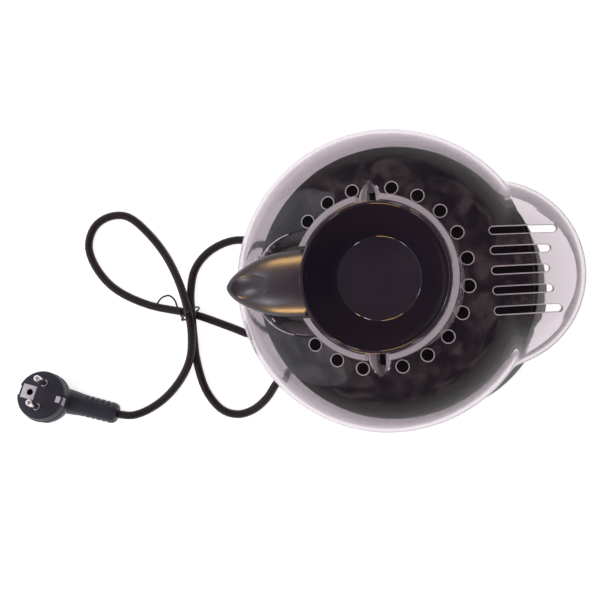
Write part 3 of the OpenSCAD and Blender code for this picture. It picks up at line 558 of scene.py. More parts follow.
def dome(shoulder_x, widest_z, shoulder_r, rise):
    """The outside of a dome from its top to its widest place: a flat crown arc, then a shoulder arc"""
    crown_r = (shoulder_x ** 2 + rise ** 2 - shoulder_r ** 2) / (2 * (rise - shoulder_r))
    crown_centre = widest_z + rise - crown_r
    join = math.atan2(shoulder_x, widest_z - crown_centre)
    crown = arc((0, crown_centre), crown_r, 0, join, 20)
    shoulder = arc((shoulder_x, widest_z), shoulder_r, join, quarter, 16)
    return crown + shoulder[1:]


# Filled when the nodes get their finishes, before any piece is modelled
finishes = {}


# ---- Body ----

switch_low, switch_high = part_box("switch_housing")
switch_middle = (Vector(switch_low) + Vector(switch_high)) / 2
switch_w = 13 * mm
switch_h = 19 * mm
pad_border = 5 * mm
pad_depth = 8 * mm


class POPPER_OT_body(bpy.types.Operator):
    """Models the tapered body shell with its ledge, spigot, deck and switch pad"""

    bl_idname = "popper.body"
    bl_label = "Body Shell"

    def execute(self, context):
        sizes = context.scene.popper_sizes
        wall = 2.5 * mm
        spigot_r = bulb_r - belly_r + math.sqrt((belly_r - cover_wall) ** 2 - bulb_rise ** 2) - fit
        sole_r = foot_r - 3 * mm
        flat_r = 52 * mm
        hole_r = 41.5 * mm
        section = [
            (sole_r, foot_z), (foot_r, foot_z + foot_chamfer), (rim_r, ledge_z), (spigot_r, ledge_z),
            (spigot_r, rim_z), (flat_r, deck_z), (hole_r, deck_z), (hole_r, deck_z - wall),
            (flat_r, deck_z - wall), (spigot_r - wall, rim_z - wall), (spigot_r - wall, ledge_z - wall),
            (rim_r - wall, ledge_z - 2 * wall), (foot_r - wall, foot_z + foot_chamfer),
            (sole_r - wall, foot_z), (sole_r, foot_z),
        ]
        shell = turned("body_skin", section, 192)
        rounded(shell, sizes.soft_edge, 3, 12)
        pad_y = -flank_r(switch_middle.z + switch_h / 2 + pad_border)
        pad = rounded(switch_block("pad", pad_border, pad_y + pad_depth / 2, pad_depth), 1.5 * mm, 4, 60)
        combined(shell, pad, "UNION")
        cut(shell, switch_block("front", pad_border / 2, pad_y - pad_depth / 2, pad_depth))
        cut(shell, switch_block("opening", 0.1 * mm, pad_y, 4 * pad_depth))
        smooth(shell, 25)
        ready(shell, "base", finishes["body"], "body_plastic", "body_shell")
        return {"FINISHED"}


def flank_r(z):
    """Radius of the body's tapered flank at a height"""
    share = (z - foot_z - foot_chamfer) / (ledge_z - foot_z - foot_chamfer)
    return foot_r + (rim_r - foot_r) * share


def switch_block(name, border, y, depth):
    """A block round the switch's middle that is wider than the switch by a border on each side"""
    size = (switch_w + 2 * border, depth, switch_h + 2 * border)
    return block(name, (switch_middle.x, y, switch_middle.z), size)


# ---- Clear cover ----

bulb_shoulder = 30 * mm
hood_r = 52 * mm
hood_x = hood_reach - hood_r
hood_z = bulb_z - 9 * mm
hood_rise = 40 * mm
hood_shoulder = 20 * mm
roof_x = hood_reach - 65.5 * mm
roof_z = bulb_z - 50.2 * mm
roof_r = 81.3 * mm
trim_z = mouth_z - 20 * mm
foot_cut_r = rim_r + 1.54 * mm
collar_r = 43.5 * mm
collar_low = crown_z - 6.5 * mm
rebate_r = 39.8 * mm
rebate_depth = 2 * mm
bore_r = 36.8 * mm
gap_w = 37.5 * mm
gap_reach = 48 * mm
gap_z = cup_rim_z - 10.5 * mm
vent_circle_r = 48.1 * mm
vent_step = math.radians(17.2)
vent_back = 0.8 * mm
vent_r = 3.5 * mm
slot_w = 4.4 * mm
slot_pitch = 10.5 * mm
slot_start = 58.6 * mm
slot_run = 25.2 * mm
slot_gain = 1.3 * mm
scoop_x = 41.5 * mm
scoop_r = 27.5 * mm
scoop_drop = 17 * mm
scoop_edge_z = crown_z - 7 * mm
scoop_bead = 0.35 * mm
bead_sunk = 0.4
notch_half = 2.5 * mm
notch_top_half = 5.9 * mm
notch_x = -1.8 * mm
notch_reach = 51.2 * mm
notch_nose = 9.5 * mm
notch_z = crown_z - 11 * mm
notch_wall = 1 * mm


def cover_form():
    """The outside of the bulb and the hood as one solid, with a foot that is trimmed later"""
    foot_angle = math.asin((bulb_z - cover_z) / belly_r)
    belly = arc((bulb_r - belly_r, bulb_z), belly_r, quarter, quarter + foot_angle, 16)
    bulb_line = dome(bulb_r - bulb_shoulder, bulb_z, bulb_shoulder, crown_rise) + belly[1:]
    bulb_line += [(bulb_line[-1][0], trim_z), (0, trim_z)]
    bulb = turned("bulb", bulb_line, 160)
    hood_line = dome(hood_r - hood_shoulder, hood_z, hood_shoulder, hood_rise)
    hood_line += [(hood_r, trim_z), (0, trim_z)]
    hood = turned("hood", hood_line, 160, (hood_x, 0))
    combined(hood, ball("roof", (axis_x + roof_x, 0, roof_z), roof_r), "INTERSECT")
    return combined(bulb, hood, "UNION")


def cover_skin(form, sizes):
    """An even grid that is blown up onto the form, softened at its creases and given a wall"""
    heart = (axis_x + 18 * mm, 0, bulb_z - 14 * mm)
    skin = ball("cover_skin", heart, 20 * mm, 288)
    modified(
        skin, "SHRINKWRAP", wrap_method="PROJECT", use_positive_direction=True,
        use_negative_direction=False, target=form,
    )
    modified(skin, "SMOOTH", factor=0.5, iterations=12)
    modified(skin, "SOLIDIFY", thickness=sizes.wall, offset=-1, use_even_offset=True)
    return skin


def touch(skin, x, y):
    """The point and the normal where a straight fall onto the skin lands, from axis-centred x and y"""
    above = Vector((axis_x + x, y, 400 * mm))
    found, point, normal, _ = skin.ray_cast(above, Vector((0, 0, -1)))
    if not found:
        raise RuntimeError("the cover is missing under a hole")
    return point, normal


def stadium(x0, x1, y, radius, ends=12, sides=14):
    """The outline of a slot between two round ends, as (x, y) points"""
    points = []
    for near, far, start, side in ((x0, x1, quarter, -radius), (x1, x0, -quarter, radius)):
        angles = [start + math.pi * i / ends for i in range(ends + 1)]
        points += [(near + radius * math.cos(a), y + radius * math.sin(a)) for a in angles]
        points += [(near + (far - near) * i / sides, y + side) for i in range(1, sides)]
    return points


def ring(x, y, radius, count=36):
    """The outline of a round hole, as (x, y) points"""
    angles = [whole * i / count for i in range(count)]
    return [(x + radius * math.cos(a), y + radius * math.sin(a)) for a in angles]


def bead(name, skin, outline, radius, closed=True):
    """A thin round bead that lies on the skin along an outline"""
    deselect()
    bpy.ops.curve.primitive_bezier_circle_add()
    loop = bpy.context.object
    loop.data.splines.clear()
    line = loop.data.splines.new("POLY")
    line.points.add(len(outline) - 1)
    line.use_cyclic_u = closed
    for point, (x, y) in zip(line.points, outline):
        place, normal = touch(skin, x, y)
        point.co = (*(place - normal * radius * bead_sunk), 1.0)
    loop.data.dimensions = "3D"
    loop.data.bevel_depth = radius
    loop.data.bevel_resolution = 1
    loop.data.use_fill_caps = not closed
    bpy.ops.object.convert(target="MESH")
    # Each bead gets the painted highlight finish, a whiter clear plastic, so its ring looks lit
    return dressed(tidy_skin(settle(name)), finishes["edge"])


def prism(name, outline, low, high):
    """An upright prism on an axis-centred outline"""
    piece = drawn(name, [(axis_x + x, y, low) for x, y in outline], closed=True)
    with editing(piece):
        extrude((0, 0, high - low))
    return tidy_skin(piece)


class POPPER_OT_cover(bpy.types.Operator):
    """Models the clear cover: bulb, chute hood, collar, vents, slots, notches and the handle's scoop"""

    bl_idname = "popper.cover"
    bl_label = "Clear Cover"

    def execute(self, context):
        sizes = context.scene.popper_sizes
        form = cover_form()
        skin = dressed(cover_skin(form, sizes), finishes["clear"])
        trim(skin)
        vents = [vent_place(k) for k in range(-5, 5)]
        vents += [vent_place(side * (k + 0.5) - 0.5, math.pi) for side in (-1, 1) for k in (2, 3, 4)]
        slots = [slot_outline(k) for k in range(-2, 3)]
        outlines = [ring(x, y, vent_r) for x, y in vents] + slots
        beads = [bead("bead", skin, outline, sizes.bead) for outline in outlines]
        beads += [bead("bead", skin, scoop_arc(side), scoop_bead, False) for side in (1, -1)]
        add_scoop(skin, form)
        add_collar(skin)
        add_notches(skin, form)
        cutters = [prism("hole", outline, cover_z, collar_z + 20 * mm) for outline in outlines]
        cut(skin, joined(cutters))
        combined(skin, joined(beads), "UNION")
        bpy.data.objects.remove(form)
        tidy_skin(skin)
        smooth(skin, 38)
        ready(skin, "cover", finishes["clear"], "clear_plastic", "cover")
        return {"FINISHED"}


def scoop_arc(side):
    """The rim of the scoop on one side, from near the handle's tip to near the collar"""
    angles = [math.radians(180 - side * (24 + 54 * i / 18)) for i in range(19)]
    return [(scoop_r * math.cos(a) - scoop_x, scoop_r * math.sin(a)) for a in angles]


def vent_place(k, turn=0.0):
    """The middle of one steam vent of the ring round the cup"""
    angle = turn + (k + 0.5) * vent_step
    return vent_circle_r * math.cos(angle) - vent_back, vent_circle_r * math.sin(angle)


def slot_outline(k):
    """One slot of the chute's roof: the outer slots are longer"""
    start = slot_start + slot_w / 2
    return stadium(start, start + slot_run + slot_gain * k * k, k * slot_pitch, slot_w / 2)


def trim(skin):
    """Opens the foot of the bulb and the mouth of the chute"""
    deep = 100 * mm
    cut(skin, rod("foot", (axis_x, 0, cover_z - deep / 2), foot_cut_r, deep, 160))
    cut(skin, block("slab", (axis_x, 0, mouth_z - deep / 2), (4 * deep, 4 * deep, deep)))


def add_collar(skin):
    """The collar that carries the cup, with its bore, rebate and the gap for the handle"""
    rest_z = collar_z - rebate_depth
    inner_r = bore_r - 1 * mm
    soft = 0.5 * mm
    section = [
        (inner_r, collar_low + 1.3 * mm), (collar_r, collar_low), (collar_r, collar_z - soft),
        (collar_r - soft, collar_z), (rebate_r + soft, collar_z), (rebate_r, collar_z - soft),
        (rebate_r, rest_z), (inner_r, rest_z), (inner_r, collar_low + 1.3 * mm),
    ]
    combined(skin, dressed(turned("collar", section, 160), finishes["clear"]), "UNION")
    # The lip on the collar's top is a thin ring in the painted highlight finish, a whiter clear plastic
    lip_in, lip_out = rebate_r + 0.1 * mm, collar_r - 0.1 * mm
    lip_low, lip_top = collar_z - 0.9 * mm, collar_z + 0.02 * mm
    lip = [
        (lip_in, lip_low), (lip_out, lip_low), (lip_out, collar_z - soft), (collar_r - soft, lip_top),
        (rebate_r + soft, lip_top), (lip_in, collar_z - soft), (lip_in, lip_low),
    ]
    combined(skin, dressed(turned("lip", lip, 160), finishes["edge"]), "UNION")
    cut(skin, rod("bore", (axis_x, 0, crown_z), bore_r, 60 * mm, 160))
    high = 40 * mm
    cut(skin, block("gap", (axis_x - gap_reach / 2, 0, gap_z + high / 2), (gap_reach, gap_w, high)))


def add_scoop(skin, form):
    """The round dish under the cup's handle, whose bottom lies well below the crown"""
    ball_r = (scoop_r ** 2 + scoop_drop ** 2) / (2 * scoop_drop)
    heart = (axis_x - scoop_x, 0, scoop_edge_z - scoop_drop + ball_r)
    tub = ball("tub", heart, ball_r + cover_wall)
    combined(tub, copied(form), "INTERSECT")
    combined(skin, dressed(tub, finishes["clear"]), "UNION")
    pocket = cut(ball("pocket", heart, ball_r), rod("keep", (axis_x, 0, crown_z), collar_r, 120 * mm, 160))
    cut(skin, dressed(pocket, finishes["clear"]))


def add_notches(skin, form):
    """The two notches at the sides of the collar: sloped walls, a round nose and a slit in the floor"""
    for side in (1, -1):
        # The walls cut by the void take the painted highlight finish, a whiter clear plastic
        cut(skin, dressed(notch_solid("void", notch_z, side, 0.3 * mm), finishes["edge"]))
        liner = dressed(notch_solid("liner", notch_z - notch_wall, side, notch_wall), finishes["clear"])
        combined(liner, copied(form), "INTERSECT")
        # painted highlight: the notch's upright walls take the whiter finish, and its level floor the clear
        # one
        hollow = dressed(notch_solid("hollow", notch_z, side, 0), finishes["clear"])
        hollow.data.materials.append(finishes["edge"])
        for face in hollow.data.polygons:
            face.material_index = int(abs(face.normal.z) < 0.9)
        cut(liner, hollow)
        slit_at = (axis_x + notch_x + 0.7 * mm, side * 42.6 * mm, notch_z)
        cut(liner, block("slit", slit_at, (3.2 * mm, 6.4 * mm, 6 * mm)))
        combined(skin, liner, "UNION")


def notch_solid(name, low, side, wall):
    """A trough that widens up to the dome's skin, and then runs straight up"""
    half = notch_half + wall
    outline = trough(notch_reach + wall, half)
    middle = axis_x + notch_x
    piece = drawn(name, [(middle + side * x, side * y, low) for x, y in outline], closed=True)
    wide = notch_top_half + wall
    with editing(piece):
        for top in (crown_z - 5 * mm, collar_z + 5 * mm):
            extrude((0, 0, top - low))
            bpy.ops.transform.resize(value=(wide / half, 1, 1), center_override=(middle, 0, top))
            low, half = top, wide
    return tidy_skin(piece)


def trough(reach, half):
    """The outline of a notch, along +Y from inside the collar to its nose"""
    start = bore_r - 2 * mm
    shares = [i / 12 for i in range(13)]
    right = [(half * (1 - t ** 3.2), reach - notch_nose * (1 - t)) for t in shares]
    left = [(-x, y) for x, y in reversed(right[:-1])]
    return [(half, start)] + right + left + [(-half, start)]


# ---- Measuring cup ----

cup_wall = 1.8 * mm
root_cut_r = 37.6 * mm
thumb_x = 67.6 * mm
thumb_y = -0.4 * mm
thumb_l = 10.4 * mm
thumb_w = 6.4 * mm
thumb_depth = 2.9 * mm
# The handle's stations in millimetres: the way out, half the width, the drop below the rim, and the depth
HANDLE = [
    (36.5, 17.8, 0.0, 8.5), (42, 17.5, 0.2, 8.4), (48, 17.2, 0.7, 8.1), (54, 16.6, 1.3, 7.7),
    (60, 15.2, 2.2, 7.2), (66, 13.1, 3.5, 6.7), (71, 10.7, 4.9, 6.2), (75, 8.4, 6.3, 5.7),
    (78, 6.2, 7.6, 5.2), (79.8, 4.2, 8.5, 4.8),
]


class POPPER_OT_cup(bpy.types.Operator):
    """Models the measuring cup: a turned bowl and a hollow, crowned handle with a thumb recess"""

    bl_idname = "popper.cup"
    bl_label = "Measuring Cup"

    def execute(self, context):
        bowl = dressed(turned("cup_skin", cup_section(), 160), finishes["cup"])
        handle = cup_handle()
        combined(bowl, handle, "UNION")
        tidy_skin(bowl)
        smooth(bowl, 45)
        ready(bowl, "cup", finishes["cup"], "cup_plastic", "measuring_cup")
        return {"FINISHED"}


def fillet(points, radii, count=5):
    """A line of (r, z) points with each inner corner rounded by its radius"""
    line = [points[0]]
    for before, corner, after, radius in zip(points, points[1:], points[2:], radii):
        a = (Vector(before) - Vector(corner)).normalized()
        b = (Vector(after) - Vector(corner)).normalized()
        half = a.angle(b) / 2
        back = min(radius / math.tan(half), 0.49 * (Vector(before) - Vector(corner)).length)
        back = min(back, 0.49 * (Vector(after) - Vector(corner)).length)
        first, last = Vector(corner) + a * back, Vector(corner) + b * back
        for i in range(count + 1):
            t = i / count
            point = (1 - t) ** 2 * first + 2 * t * (1 - t) * Vector(corner) + t ** 2 * last
            line.append(tuple(point))
    return line + [points[-1]]


def cup_section():
    """The bowl's wall from the middle of its underside, up round the rim band and down to the floor"""
    cup_r = 39.5 * mm
    band_z = cup_rim_z - 3.3 * mm
    floor_z = cup_rim_z - 19.5 * mm
    under = floor_z - cup_wall
    points = [
        (0, under), (20 * mm, under), (24.2 * mm, under + 3 * mm), (35.3 * mm, band_z - 2.5 * mm),
        (36.4 * mm, band_z), (cup_r, band_z), (cup_r, cup_rim_z), (cup_r - 1.5 * mm, cup_rim_z),
        (34.5 * mm, band_z - 2.2 * mm), (25.6 * mm, floor_z + 3.2 * mm), (22.2 * mm, floor_z), (0, floor_z),
    ]
    radii = [v * mm for v in (3, 2, 1.2, 0.3, 0.4, 0.9, 0.7, 4.5, 4.5, 1.1)]
    return fillet(points, radii)


def cup_handle():
    """The handle: an arch-shaped section that is carried outwards, narrowed and lowered to a round tip"""
    turns = [0, 15, 30, 45, 58, 70, 81, 90]
    side = [(math.sin(math.radians(a)), math.cos(math.radians(a)) - 1) for a in turns]
    arch = [(x, z) for x, z in reversed(side)] + [(-x, z) for x, z in side[1:]]
    out, half, drop, depth = HANDLE[0]
    root = [(axis_x - out * mm, y * half * mm, cup_rim_z - drop * mm + z * depth * mm) for y, z in arch]
    piece = dressed(drawn("handle", root), finishes["grip"])
    with editing(piece):
        for before, row in zip(HANDLE, HANDLE[1:]):
            extrude((-(row[0] - before[0]) * mm, 0, -(row[2] - before[2]) * mm))
            shrink = (1, row[1] / before[1], row[3] / before[3])
            pivot = (axis_x - row[0] * mm, 0, cup_rim_z - row[2] * mm)
            bpy.ops.transform.resize(value=shrink, center_override=pivot)
        extrude((-0.9 * mm, 0, -0.6 * mm))
        tip = (axis_x - handle_reach, 0, cup_rim_z - 9.1 * mm)
        bpy.ops.transform.resize(value=(1, 0.5, 0.6), center_override=tip)
    tidy_skin(piece)
    if sum(face.normal.z * face.area for face in piece.data.polygons) < 0:
        with editing(piece):
            bpy.ops.mesh.flip_normals()
    modified(piece, "SUBSURF", levels=3, render_levels=3)
    press_thumb(piece)
    modified(piece, "SOLIDIFY", thickness=cup_wall, offset=-1, use_even_offset=True)
    return cut(piece, rod("inside", (axis_x, 0, cup_rim_z), root_cut_r, 60 * mm, 160))


def press_thumb(piece):
    """Presses an oval rest into the top of the handle near its tip"""
    for vertex in piece.data.vertices:
        along = (vertex.co.x - (axis_x - thumb_x)) / thumb_l
        share = along ** 2 + ((vertex.co.y - thumb_y) / thumb_w) ** 2
        if share < 1:
            vertex.co.z -= thumb_depth * (1 - share) ** 0.8


# ---- Cord and tie ----

# Both routes in millimetres, from the body's axis on the table
ROUTE = [
    (-104.004, -55.299, 14.5), (-112.8, -60.4, 12.8), (-122.5, -71.8, 7.6), (-134.5, -80.4, 4),
    (-147.5, -83.4, 3.2), (-160.5, -78.4, 3.2), (-171.5, -63, 3.2), (-177.2, -41, 3.2),
    (-177.4, -22.5, 6.8), (-176.8, -5, 11), (-177.8, 12.5, 6.9), (-174, 30.5, 3.2), (-160, 44, 3.2),
    (-139.5, 49.8, 3.2), (-117.5, 43.5, 3.2), (-104, 25.5, 3.2), (-101.9, 5, 3.2), (-107, -11.5, 3.2),
    (-119.5, -21.5, 3.2), (-134, -22.8, 3.2), (-147.5, -17.2, 3.2), (-178, -4.6, 4.7), (-212, 4.2, 3.2),
    (-238, 17.5, 3.2), (-253, 34, 3.2), (-259.8, 52.5, 3.2), (-254.5, 68.2, 3.2), (-241.5, 75.8, 3.2),
    (-226, 74.4, 3.2), (-210.8, 60.8, 3.2), (-196.5, 41.5, 5), (-185, 19, 11.4), (-177.3, -5, 17.6),
    (-177.2, -23, 13.8), (-181, -39.5, 9.3), (-190.5, -54.5, 4.8), (-203.5, -67.5, 3.2),
    (-217.5, -76.2, 4.2), (-230.2, -80, 6.9), (-242.042, -78.369, 8.102),
]
TIE_PATH = [
    (-205, 5, 7.6), (-201.5, 9.3, 6.6), (-196, 10.8, 5.2), (-191.5, 7, 5.4), (-188, 0, 9.4),
    (-185, -8, 7), (-182.4, -8.2, 2.2), (-178, -4.6, 0.9), (-173.4, -0.9, 2.4), (-172.1, 0.2, 9),
    (-172.6, -0.4, 17.8), (-177.3, -4, 22), (-182.8, -8.4, 18.2), (-183.6, -9.4, 12.6),
]


def flowing(route, parts):
    """Points along the smooth curve through a route, with each stretch in parts"""
    points = [Vector(p) for p in route]
    line = []
    for i in range(len(points) - 1):
        a, b, c = points[max(i - 1, 0)], points[i], points[i + 1]
        d = points[min(i + 2, len(points) - 1)]
        bend = 2 * a - 5 * b + 4 * c - d
        twist = 3 * b - a - 3 * c + d
        for t in [k / parts for k in range(parts)]:
            line.append(0.5 * (2 * b + (c - a) * t + bend * t ** 2 + twist * t ** 3))
    return [axis_foot + p * mm for p in line + [points[-1]]]


def piped(name, line, radius, sides_level=5):
    """A round tube as a curve of one open spline"""
    deselect()
    bpy.ops.curve.primitive_bezier_curve_add()
    tube = bpy.context.object
    tube.name = name
    tube.data.name = name
    tube.data.splines.clear()
    spline = tube.data.splines.new("POLY")
    spline.points.add(len(line) - 1)
    for point, place in zip(spline.points, line):
        point.co = (*place, 1.0)
    tube.data.dimensions = "3D"
    tube.data.bevel_depth = radius
    tube.data.bevel_resolution = sides_level
    tube.data.use_fill_caps = True
    for s in tube.data.splines:
        s.use_smooth = True
    return tube


class POPPER_OT_cord(bpy.types.Operator):
    """Lays the mains cord in its loops and winds the tie round them"""

    bl_idname = "popper.cord"
    bl_label = "Cord and Tie"

    def execute(self, context):
        sizes = context.scene.popper_sizes
        line = flowing(ROUTE, 4)
        cord = piped("mains_cord_sheath", line, sizes.cord_width / 2)
        ready(cord, "base", finishes["sheath"], "cord_sheath", "mains_cord")
        tie = piped("cord_tie_wire", flowing(TIE_PATH, 4), sizes.tie_wire, 3)
        ready(tie, "base", finishes["tie"], "tie_wire", "cord_tie")
        gland = gland_piece()
        plug, pins, contacts = plug_pieces()
        run = sum((b - a).length for a, b in zip(line, line[1:]))
        return {"FINISHED"}


GLAND_TURN = math.radians(208)
gland_z = 14.5 * mm


def gland_piece():
    """The ribbed rubber sleeve that holds the cord where it leaves the body"""
    out_r = flank_r(gland_z)
    foot = Vector((axis_x + out_r * math.cos(GLAND_TURN), out_r * math.sin(GLAND_TURN), gland_z))
    placing = Matrix.Translation(foot) @ Euler((0, quarter, GLAND_TURN)).to_matrix().to_4x4()
    line = [
        (0, -9.5), (6.2, -9.5), (6.2, -6.5), (5, -6.3), (5, 0.8), (7, 0.8), (7, 3.2), (6.4, 3.8), (5.6, 4),
    ]
    for start in [6.4 + 3.4 * k for k in range(6)]:
        r = 5.6 - 0.048 * (start - 3)
        line += [(r, start), (r - 1.1, start + 0.15), (r - 1.1, start + 1.3), (r - 0.05, start + 1.45)]
    line += [(4.25, 27.4), (4.0, 28), (0, 28)]
    sleeve = rounded(spun("gland_sleeve", in_mm(line), 48, placing), 0.25 * mm, 2, 40)
    smooth(sleeve, 40)
    return ready(sleeve, "base", finishes["gland"], "gland_rubber", "cord_gland")


# ---- Plug ----

PLUG_AT = (-294.6, -62.3, 22.5)
PLUG_TURN = math.radians(-17)
PLUG_LEAN = math.radians(-15)
face_rise = 11.5 * mm
pin_y = 9.5 * mm
pin_root_r = 2.9 * mm
earth_x = -8.5 * mm
earth_r = 2.5 * mm
contact_t = 0.9 * mm


def plug_middle():
    """The plug's place and its turn on the table"""
    base = Matrix.Translation(axis_foot + Vector(PLUG_AT) * mm)
    return base @ Matrix.Rotation(PLUG_TURN, 4, "Z")


def plug_frame():
    """Where a part of the plug goes: x runs towards the cord and z out of the face"""
    lean = Matrix.Rotation(PLUG_LEAN, 4, "X")
    return plug_middle() @ lean @ Matrix.Translation((0, 0, face_rise))


def plug_pieces():
    """The angled plug with its ribbed neck, its two pins and its earth contacts"""
    place = plug_frame()
    line = [
        (0, 0), (17.3, 0), (18.3, -0.5), (18.9, -1.6), (19.0, -8.6), (19.6, -9.4), (19.7, -13.6),
        (19.2, -15.4), (17.4, -22), (13.8, -28), (8.5, -32.2), (0, -33.8),
    ]
    body = spun("plug_grip", in_mm(line), 64, place)
    combined(body, plug_neck(), "UNION")
    for side in (-1, 1):
        cut(body, block("notch", (side * 18.4 * mm, 0, -3.6 * mm), (3.4 * mm, 7.4 * mm, 11 * mm)), place)
        cut(body, rod("hole", (0, side * pin_y, 0), pin_root_r, 2.4 * mm, 32), place)
        cut(body, block("flat", (0, side * 23.2 * mm, -16 * mm), (60 * mm, 10 * mm, 13 * mm)), place)
    cut(body, rod("socket", (earth_x, 0, 0), earth_r, 24 * mm, 32), place)
    smooth(rounded(body, 0.45 * mm, 3, 28), 35)
    ready(body, "base", finishes["plug"], "plug_plastic", "plug_body")
    pins = joined([placed(plug_pin(side), place) for side in (-1, 1)])
    smooth(pins, 35)
    ready(pins, "base", finishes["nickel"], "plug_brass", "plug_pins")
    contacts = placed(plug_contacts(), place)
    smooth(contacts, 35)
    ready(contacts, "base", finishes["contact"], "plug_brass", "plug_earth_clips")
    return body, pins, contacts


def plug_neck():
    """The neck: a broad root that narrows to the ribbed sleeve round the cord"""
    dip = math.atan2(2.0, 49.0)
    placing = plug_middle() @ Matrix.Translation((6 * mm, 0, -12.4 * mm))
    placing = placing @ Matrix.Rotation(quarter + dip, 4, "Y")
    line = [(0, 0), (9.8, 0), (9.7, 9), (9.1, 15.5), (8.5, 20.5)]
    line += [(8.1, 45.2), (7.5, 47.6), (6.2, 49), (0, 49)]
    neck = spun("neck", in_mm(line), 48, placing)
    groove = (12 * mm, 6.6 * mm, 2.1 * mm)
    for middle in [(24.5 + 4.4 * k) * mm for k in range(5)]:
        for side in (-1, 1):
            cut(neck, block("groove", (0, side * 9.1 * mm, middle), groove), placing)
    return neck


def plug_pin(side):
    """A round pin with a stepped root and a domed tip"""
    line = [(0, -7.8), (2.2, -7.8), (2.2, 0.0), (2.75, 0.0), (2.75, 0.5), (2.4, 0.7), (2.4, 17.2)]
    line += [(2.4 * math.cos(a), 17.0 + 2.0 * math.sin(a)) for a in (0.35, 0.75, 1.15)] + [(0, 19)]
    return spun("plug_pins_round", in_mm(line), 32, Matrix.Translation((0, side * pin_y, 0)))


def plug_contacts():
    """The earth contacts: a strip in each side notch, and the plate round the earth socket"""
    strips = []
    for side in (-1, 1):
        strips.append(block("contacts", (side * 17.2 * mm, 0, -5.6 * mm), (contact_t, 6.4 * mm, 6.4 * mm)))
        strips.append(block("contacts", (side * 17.8 * mm, 0, -4.6 * mm), (contact_t, 5.0 * mm, 3.0 * mm)))
    strips.append(block("contacts", (14.6 * mm, 0, 0.1 * mm), (3.6 * mm, 4.8 * mm, 0.5 * mm)))
    plate = block("plate", (-9.7 * mm, 0, 0.25 * mm), (11 * mm, 10.8 * mm, 0.7 * mm))
    rounded(plate, 0.9 * mm, 3, 60)
    cut(plate, rod("eye", (earth_x, 0, 0), earth_r, 6 * mm, 32))
    return joined(strips + [plate])


# ---- Nodes of the frame ----

# Moulded nodes whose edges are rounded: the radius in millimetres, the body and the slot
SOFTENED = (
    ("switch_housing", 0.35, "base", "switch_black"), ("switch_rocker", 0.5, "rocker", "rocker_red"),
    ("base_plate", 0.4, "base", "plate_plastic"), ("rubber_feet", 0.8, "base", "foot_rubber"),
)


class POPPER_OT_nodes(bpy.types.Operator):
    """Gives every node of the frame its finish, and rounds the edges of the moulded ones"""

    bl_idname = "popper.nodes"
    bl_label = "Inner Parts"

    def execute(self, context):
        finishes.update(make_finishes())
        for name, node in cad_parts.items():
            finish = finishes[NODE_FINISHES[name]]
            if not node.material_slots:
                node.data.materials.append(finish)
            for holder in node.material_slots:
                holder.material = finish
        for name, width, body, slot in SOFTENED:
            piece = softened(name, name + "_moulded", width * mm)
            ready(piece, body, finishes[NODE_FINISHES[name]], slot, name)
        return {"FINISHED"}


# ---- Stage ----

CAMERA_AT = (67.21 * mm, -30.31 * mm, 887.32 * mm)
CAMERA_SHIFT = 1.5 / 600
CAMERA_TURN = (1.294, 11.049, -3.544)
CAMERA_LENS = 71.23
WARM = (1.0, 0.60, 0.23)
AMBER = (1.0, 0.70, 0.36)
COOL = (0.84, 0.90, 1.0)
# Lamps that light only the cup: place, size, power and tone
CUP_LAMPS = (
    ((-0.40, 0.95, 0.95), (0.50, 0.26), 14.0, WARM),
    ((-0.40, -1.1, 0.66), (0.50, 0.36), 18.0, WARM),
    ((-0.95, 0.40, 1.15), (0.16, 0.24), 3.0, COOL),
    ((-0.74, -0.67, 1.15), (0.16, 0.24), 3.0, COOL),
    ((0.39, -0.92, 1.15), (0.16, 0.24), 4.0, COOL),
    ((0.17, 0.98, 1.15), (0.16, 0.24), 5.0, COOL),
    ((0.45, 1.0, 1.25), (0.14, 0.14), 6.0, AMBER),
)
CEILING = ((0.0, (0.9, 0.9, 0.9)), (0.35, (0.56, 0.53, 0.53)), (1.0, (0.72, 0.50, 0.53)))
MOTTLES = ((0.40, (0.22, 0.22, 0.31)), (0.52, (0.46, 0.46, 0.53)), (0.62, (1.0, 1.0, 1.0)))


def softbox(name, place, size, power, tone, aim=(0.0, 0.0, 0.25)):
    """A lamp of a width and a height that faces a point"""
    deselect()
    bpy.ops.object.light_add(type="AREA", location=place)
    lamp = bpy.context.object
    lamp.name = name
    lamp.data.shape = "RECTANGLE"
    lamp.data.size, lamp.data.size_y = size
    lamp.data.energy = power
    lamp.data.color = tone
    lamp.rotation_euler = (Vector(aim) - Vector(place)).to_track_quat("-Z", "Y").to_euler()
    return lamp


def floor_finish():
    """A pale floor that keeps soft shadows but shows white to the camera"""
    f = Finish("floor")
    camera = f.ray("Camera")
    seen = (camera + f.ray("Glossy") + f.ray("Transmission")).clipped()
    paint = f.node("BsdfDiffuse", {}, {"Color": solid((0.9, 0.9, 0.9))})
    glow = f.node("Emission", {}, {"Color": solid((1, 1, 1)), "Strength": 0.62 * seen + 0.1 * camera})
    return f.finish_with(f.node("AddShader", {}, {0: paint, 1: glow}))


def sky():
    """White to the camera, and a dim, mottled ceiling above a pale horizon to the rest"""
    f = Finish("studio", "worlds")
    where = f.place("Generated")
    height = f.node("SeparateXYZ", {}, {"Vector": where}, "Z")
    clouds = f.node("TexNoise", {}, {"Vector": where, "Scale": 6.5, "Detail": 5.0, "Distortion": 0.8})
    high = f.node("MapRange", {}, {"Value": height, "From Min": 0.40, "From Max": 0.65})
    room = f.blend(high, f.ramp(height, *CEILING), f.ramp(clouds, *MOTTLES), "MULTIPLY")
    tone = f.blend(f.ray("Camera"), room, (1, 1, 1))
    return f.finish_with(f.node("Background", {}, {"Color": tone}), "OutputWorld")


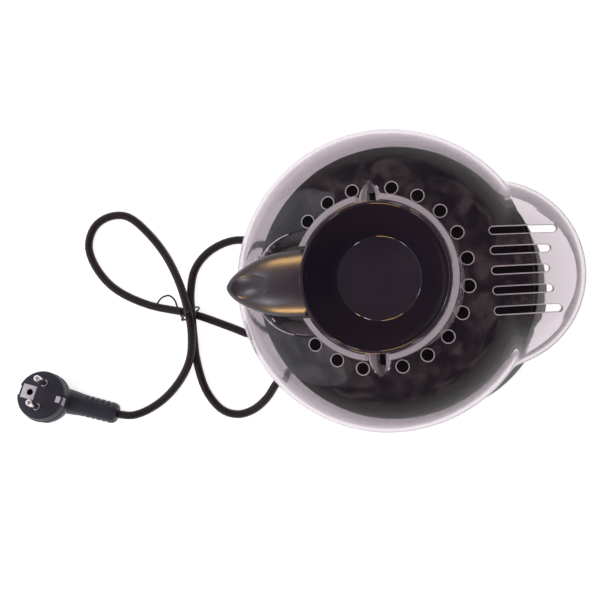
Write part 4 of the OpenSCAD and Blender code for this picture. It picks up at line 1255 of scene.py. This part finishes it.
class POPPER_OT_camera(bpy.types.Operator):
    """Sets the camera above the popper"""

    bl_idname = "popper.camera"
    bl_label = "Camera"

    def execute(self, context):
        deselect()
        bpy.ops.object.camera_add(location=CAMERA_AT, rotation=[math.radians(a) for a in CAMERA_TURN])
        camera = bpy.context.object
        camera.data.lens = CAMERA_LENS
        camera.data.sensor_width = 36
        camera.data.shift_x = CAMERA_SHIFT
        context.scene.camera = camera
        return {"FINISHED"}


class POPPER_OT_stage(bpy.types.Operator):
    """Sets the floor, the sky and the lamps"""

    bl_idname = "popper.stage"
    bl_label = "Stage"

    def execute(self, context):
        scene = context.scene
        scene.view_settings.view_transform = "Standard"
        deselect()
        bpy.ops.mesh.primitive_plane_add(size=6, location=(0, 0, 0))
        floor = settle("floor")
        floor.data.materials.append(floor_finish())
        scene.world = sky()
        softbox("window", (-1.7, 0.0, 1.5), (3.4, 2.2), 14.0, (0.82, 0.88, 1.0))
        softbox("overhead", (0.0, -0.1, 2.8), (1.6, 1.6), 12.0, (1.0, 0.95, 0.92)).visible_glossy = False
        cup_only = bpy.data.collections.new("cup_only")
        cup_only.objects.link(bpy.data.objects["cup_skin"])
        for place, size, power, tone in CUP_LAMPS:
            softbox("cup_lamp", place, size, power, tone).light_linking.receiver_collection = cup_only
        return {"FINISHED"}


class POPPER_PT_panel(bpy.types.Panel):
    """Lists the steps that model the popper"""

    bl_label = "Popcorn Popper"
    bl_space_type = "VIEW_3D"
    bl_region_type = "UI"
    bl_category = "Popper"

    def draw(self, context):
        for group in (context.scene.popper_sizes, context.scene.popper_colours):
            for name in group.__annotations__:
                self.layout.prop(group, name)
        for step in STEPS:
            self.layout.operator(step.bl_idname)


STEPS = (
    POPPER_OT_camera, POPPER_OT_nodes, POPPER_OT_cord, POPPER_OT_body, POPPER_OT_cover, POPPER_OT_cup,
    POPPER_OT_stage,
)
CLASSES = (PopperSizes, PopperColours, *STEPS, POPPER_PT_panel)


def register():
    for cls in CLASSES:
        bpy.utils.register_class(cls)
    bpy.types.Scene.popper_sizes = PointerProperty(type=PopperSizes)
    bpy.types.Scene.popper_colours = PointerProperty(type=PopperColours)


def unregister():
    del bpy.types.Scene.popper_sizes
    del bpy.types.Scene.popper_colours
    for cls in reversed(CLASSES):
        bpy.utils.unregister_class(cls)


def main():
    """Makes everything in order"""
    register()
    for step in STEPS:
        group, name = step.bl_idname.split(".")
        getattr(getattr(bpy.ops, group), name)()
    deselect()


if __name__ == "__main__":
    main()
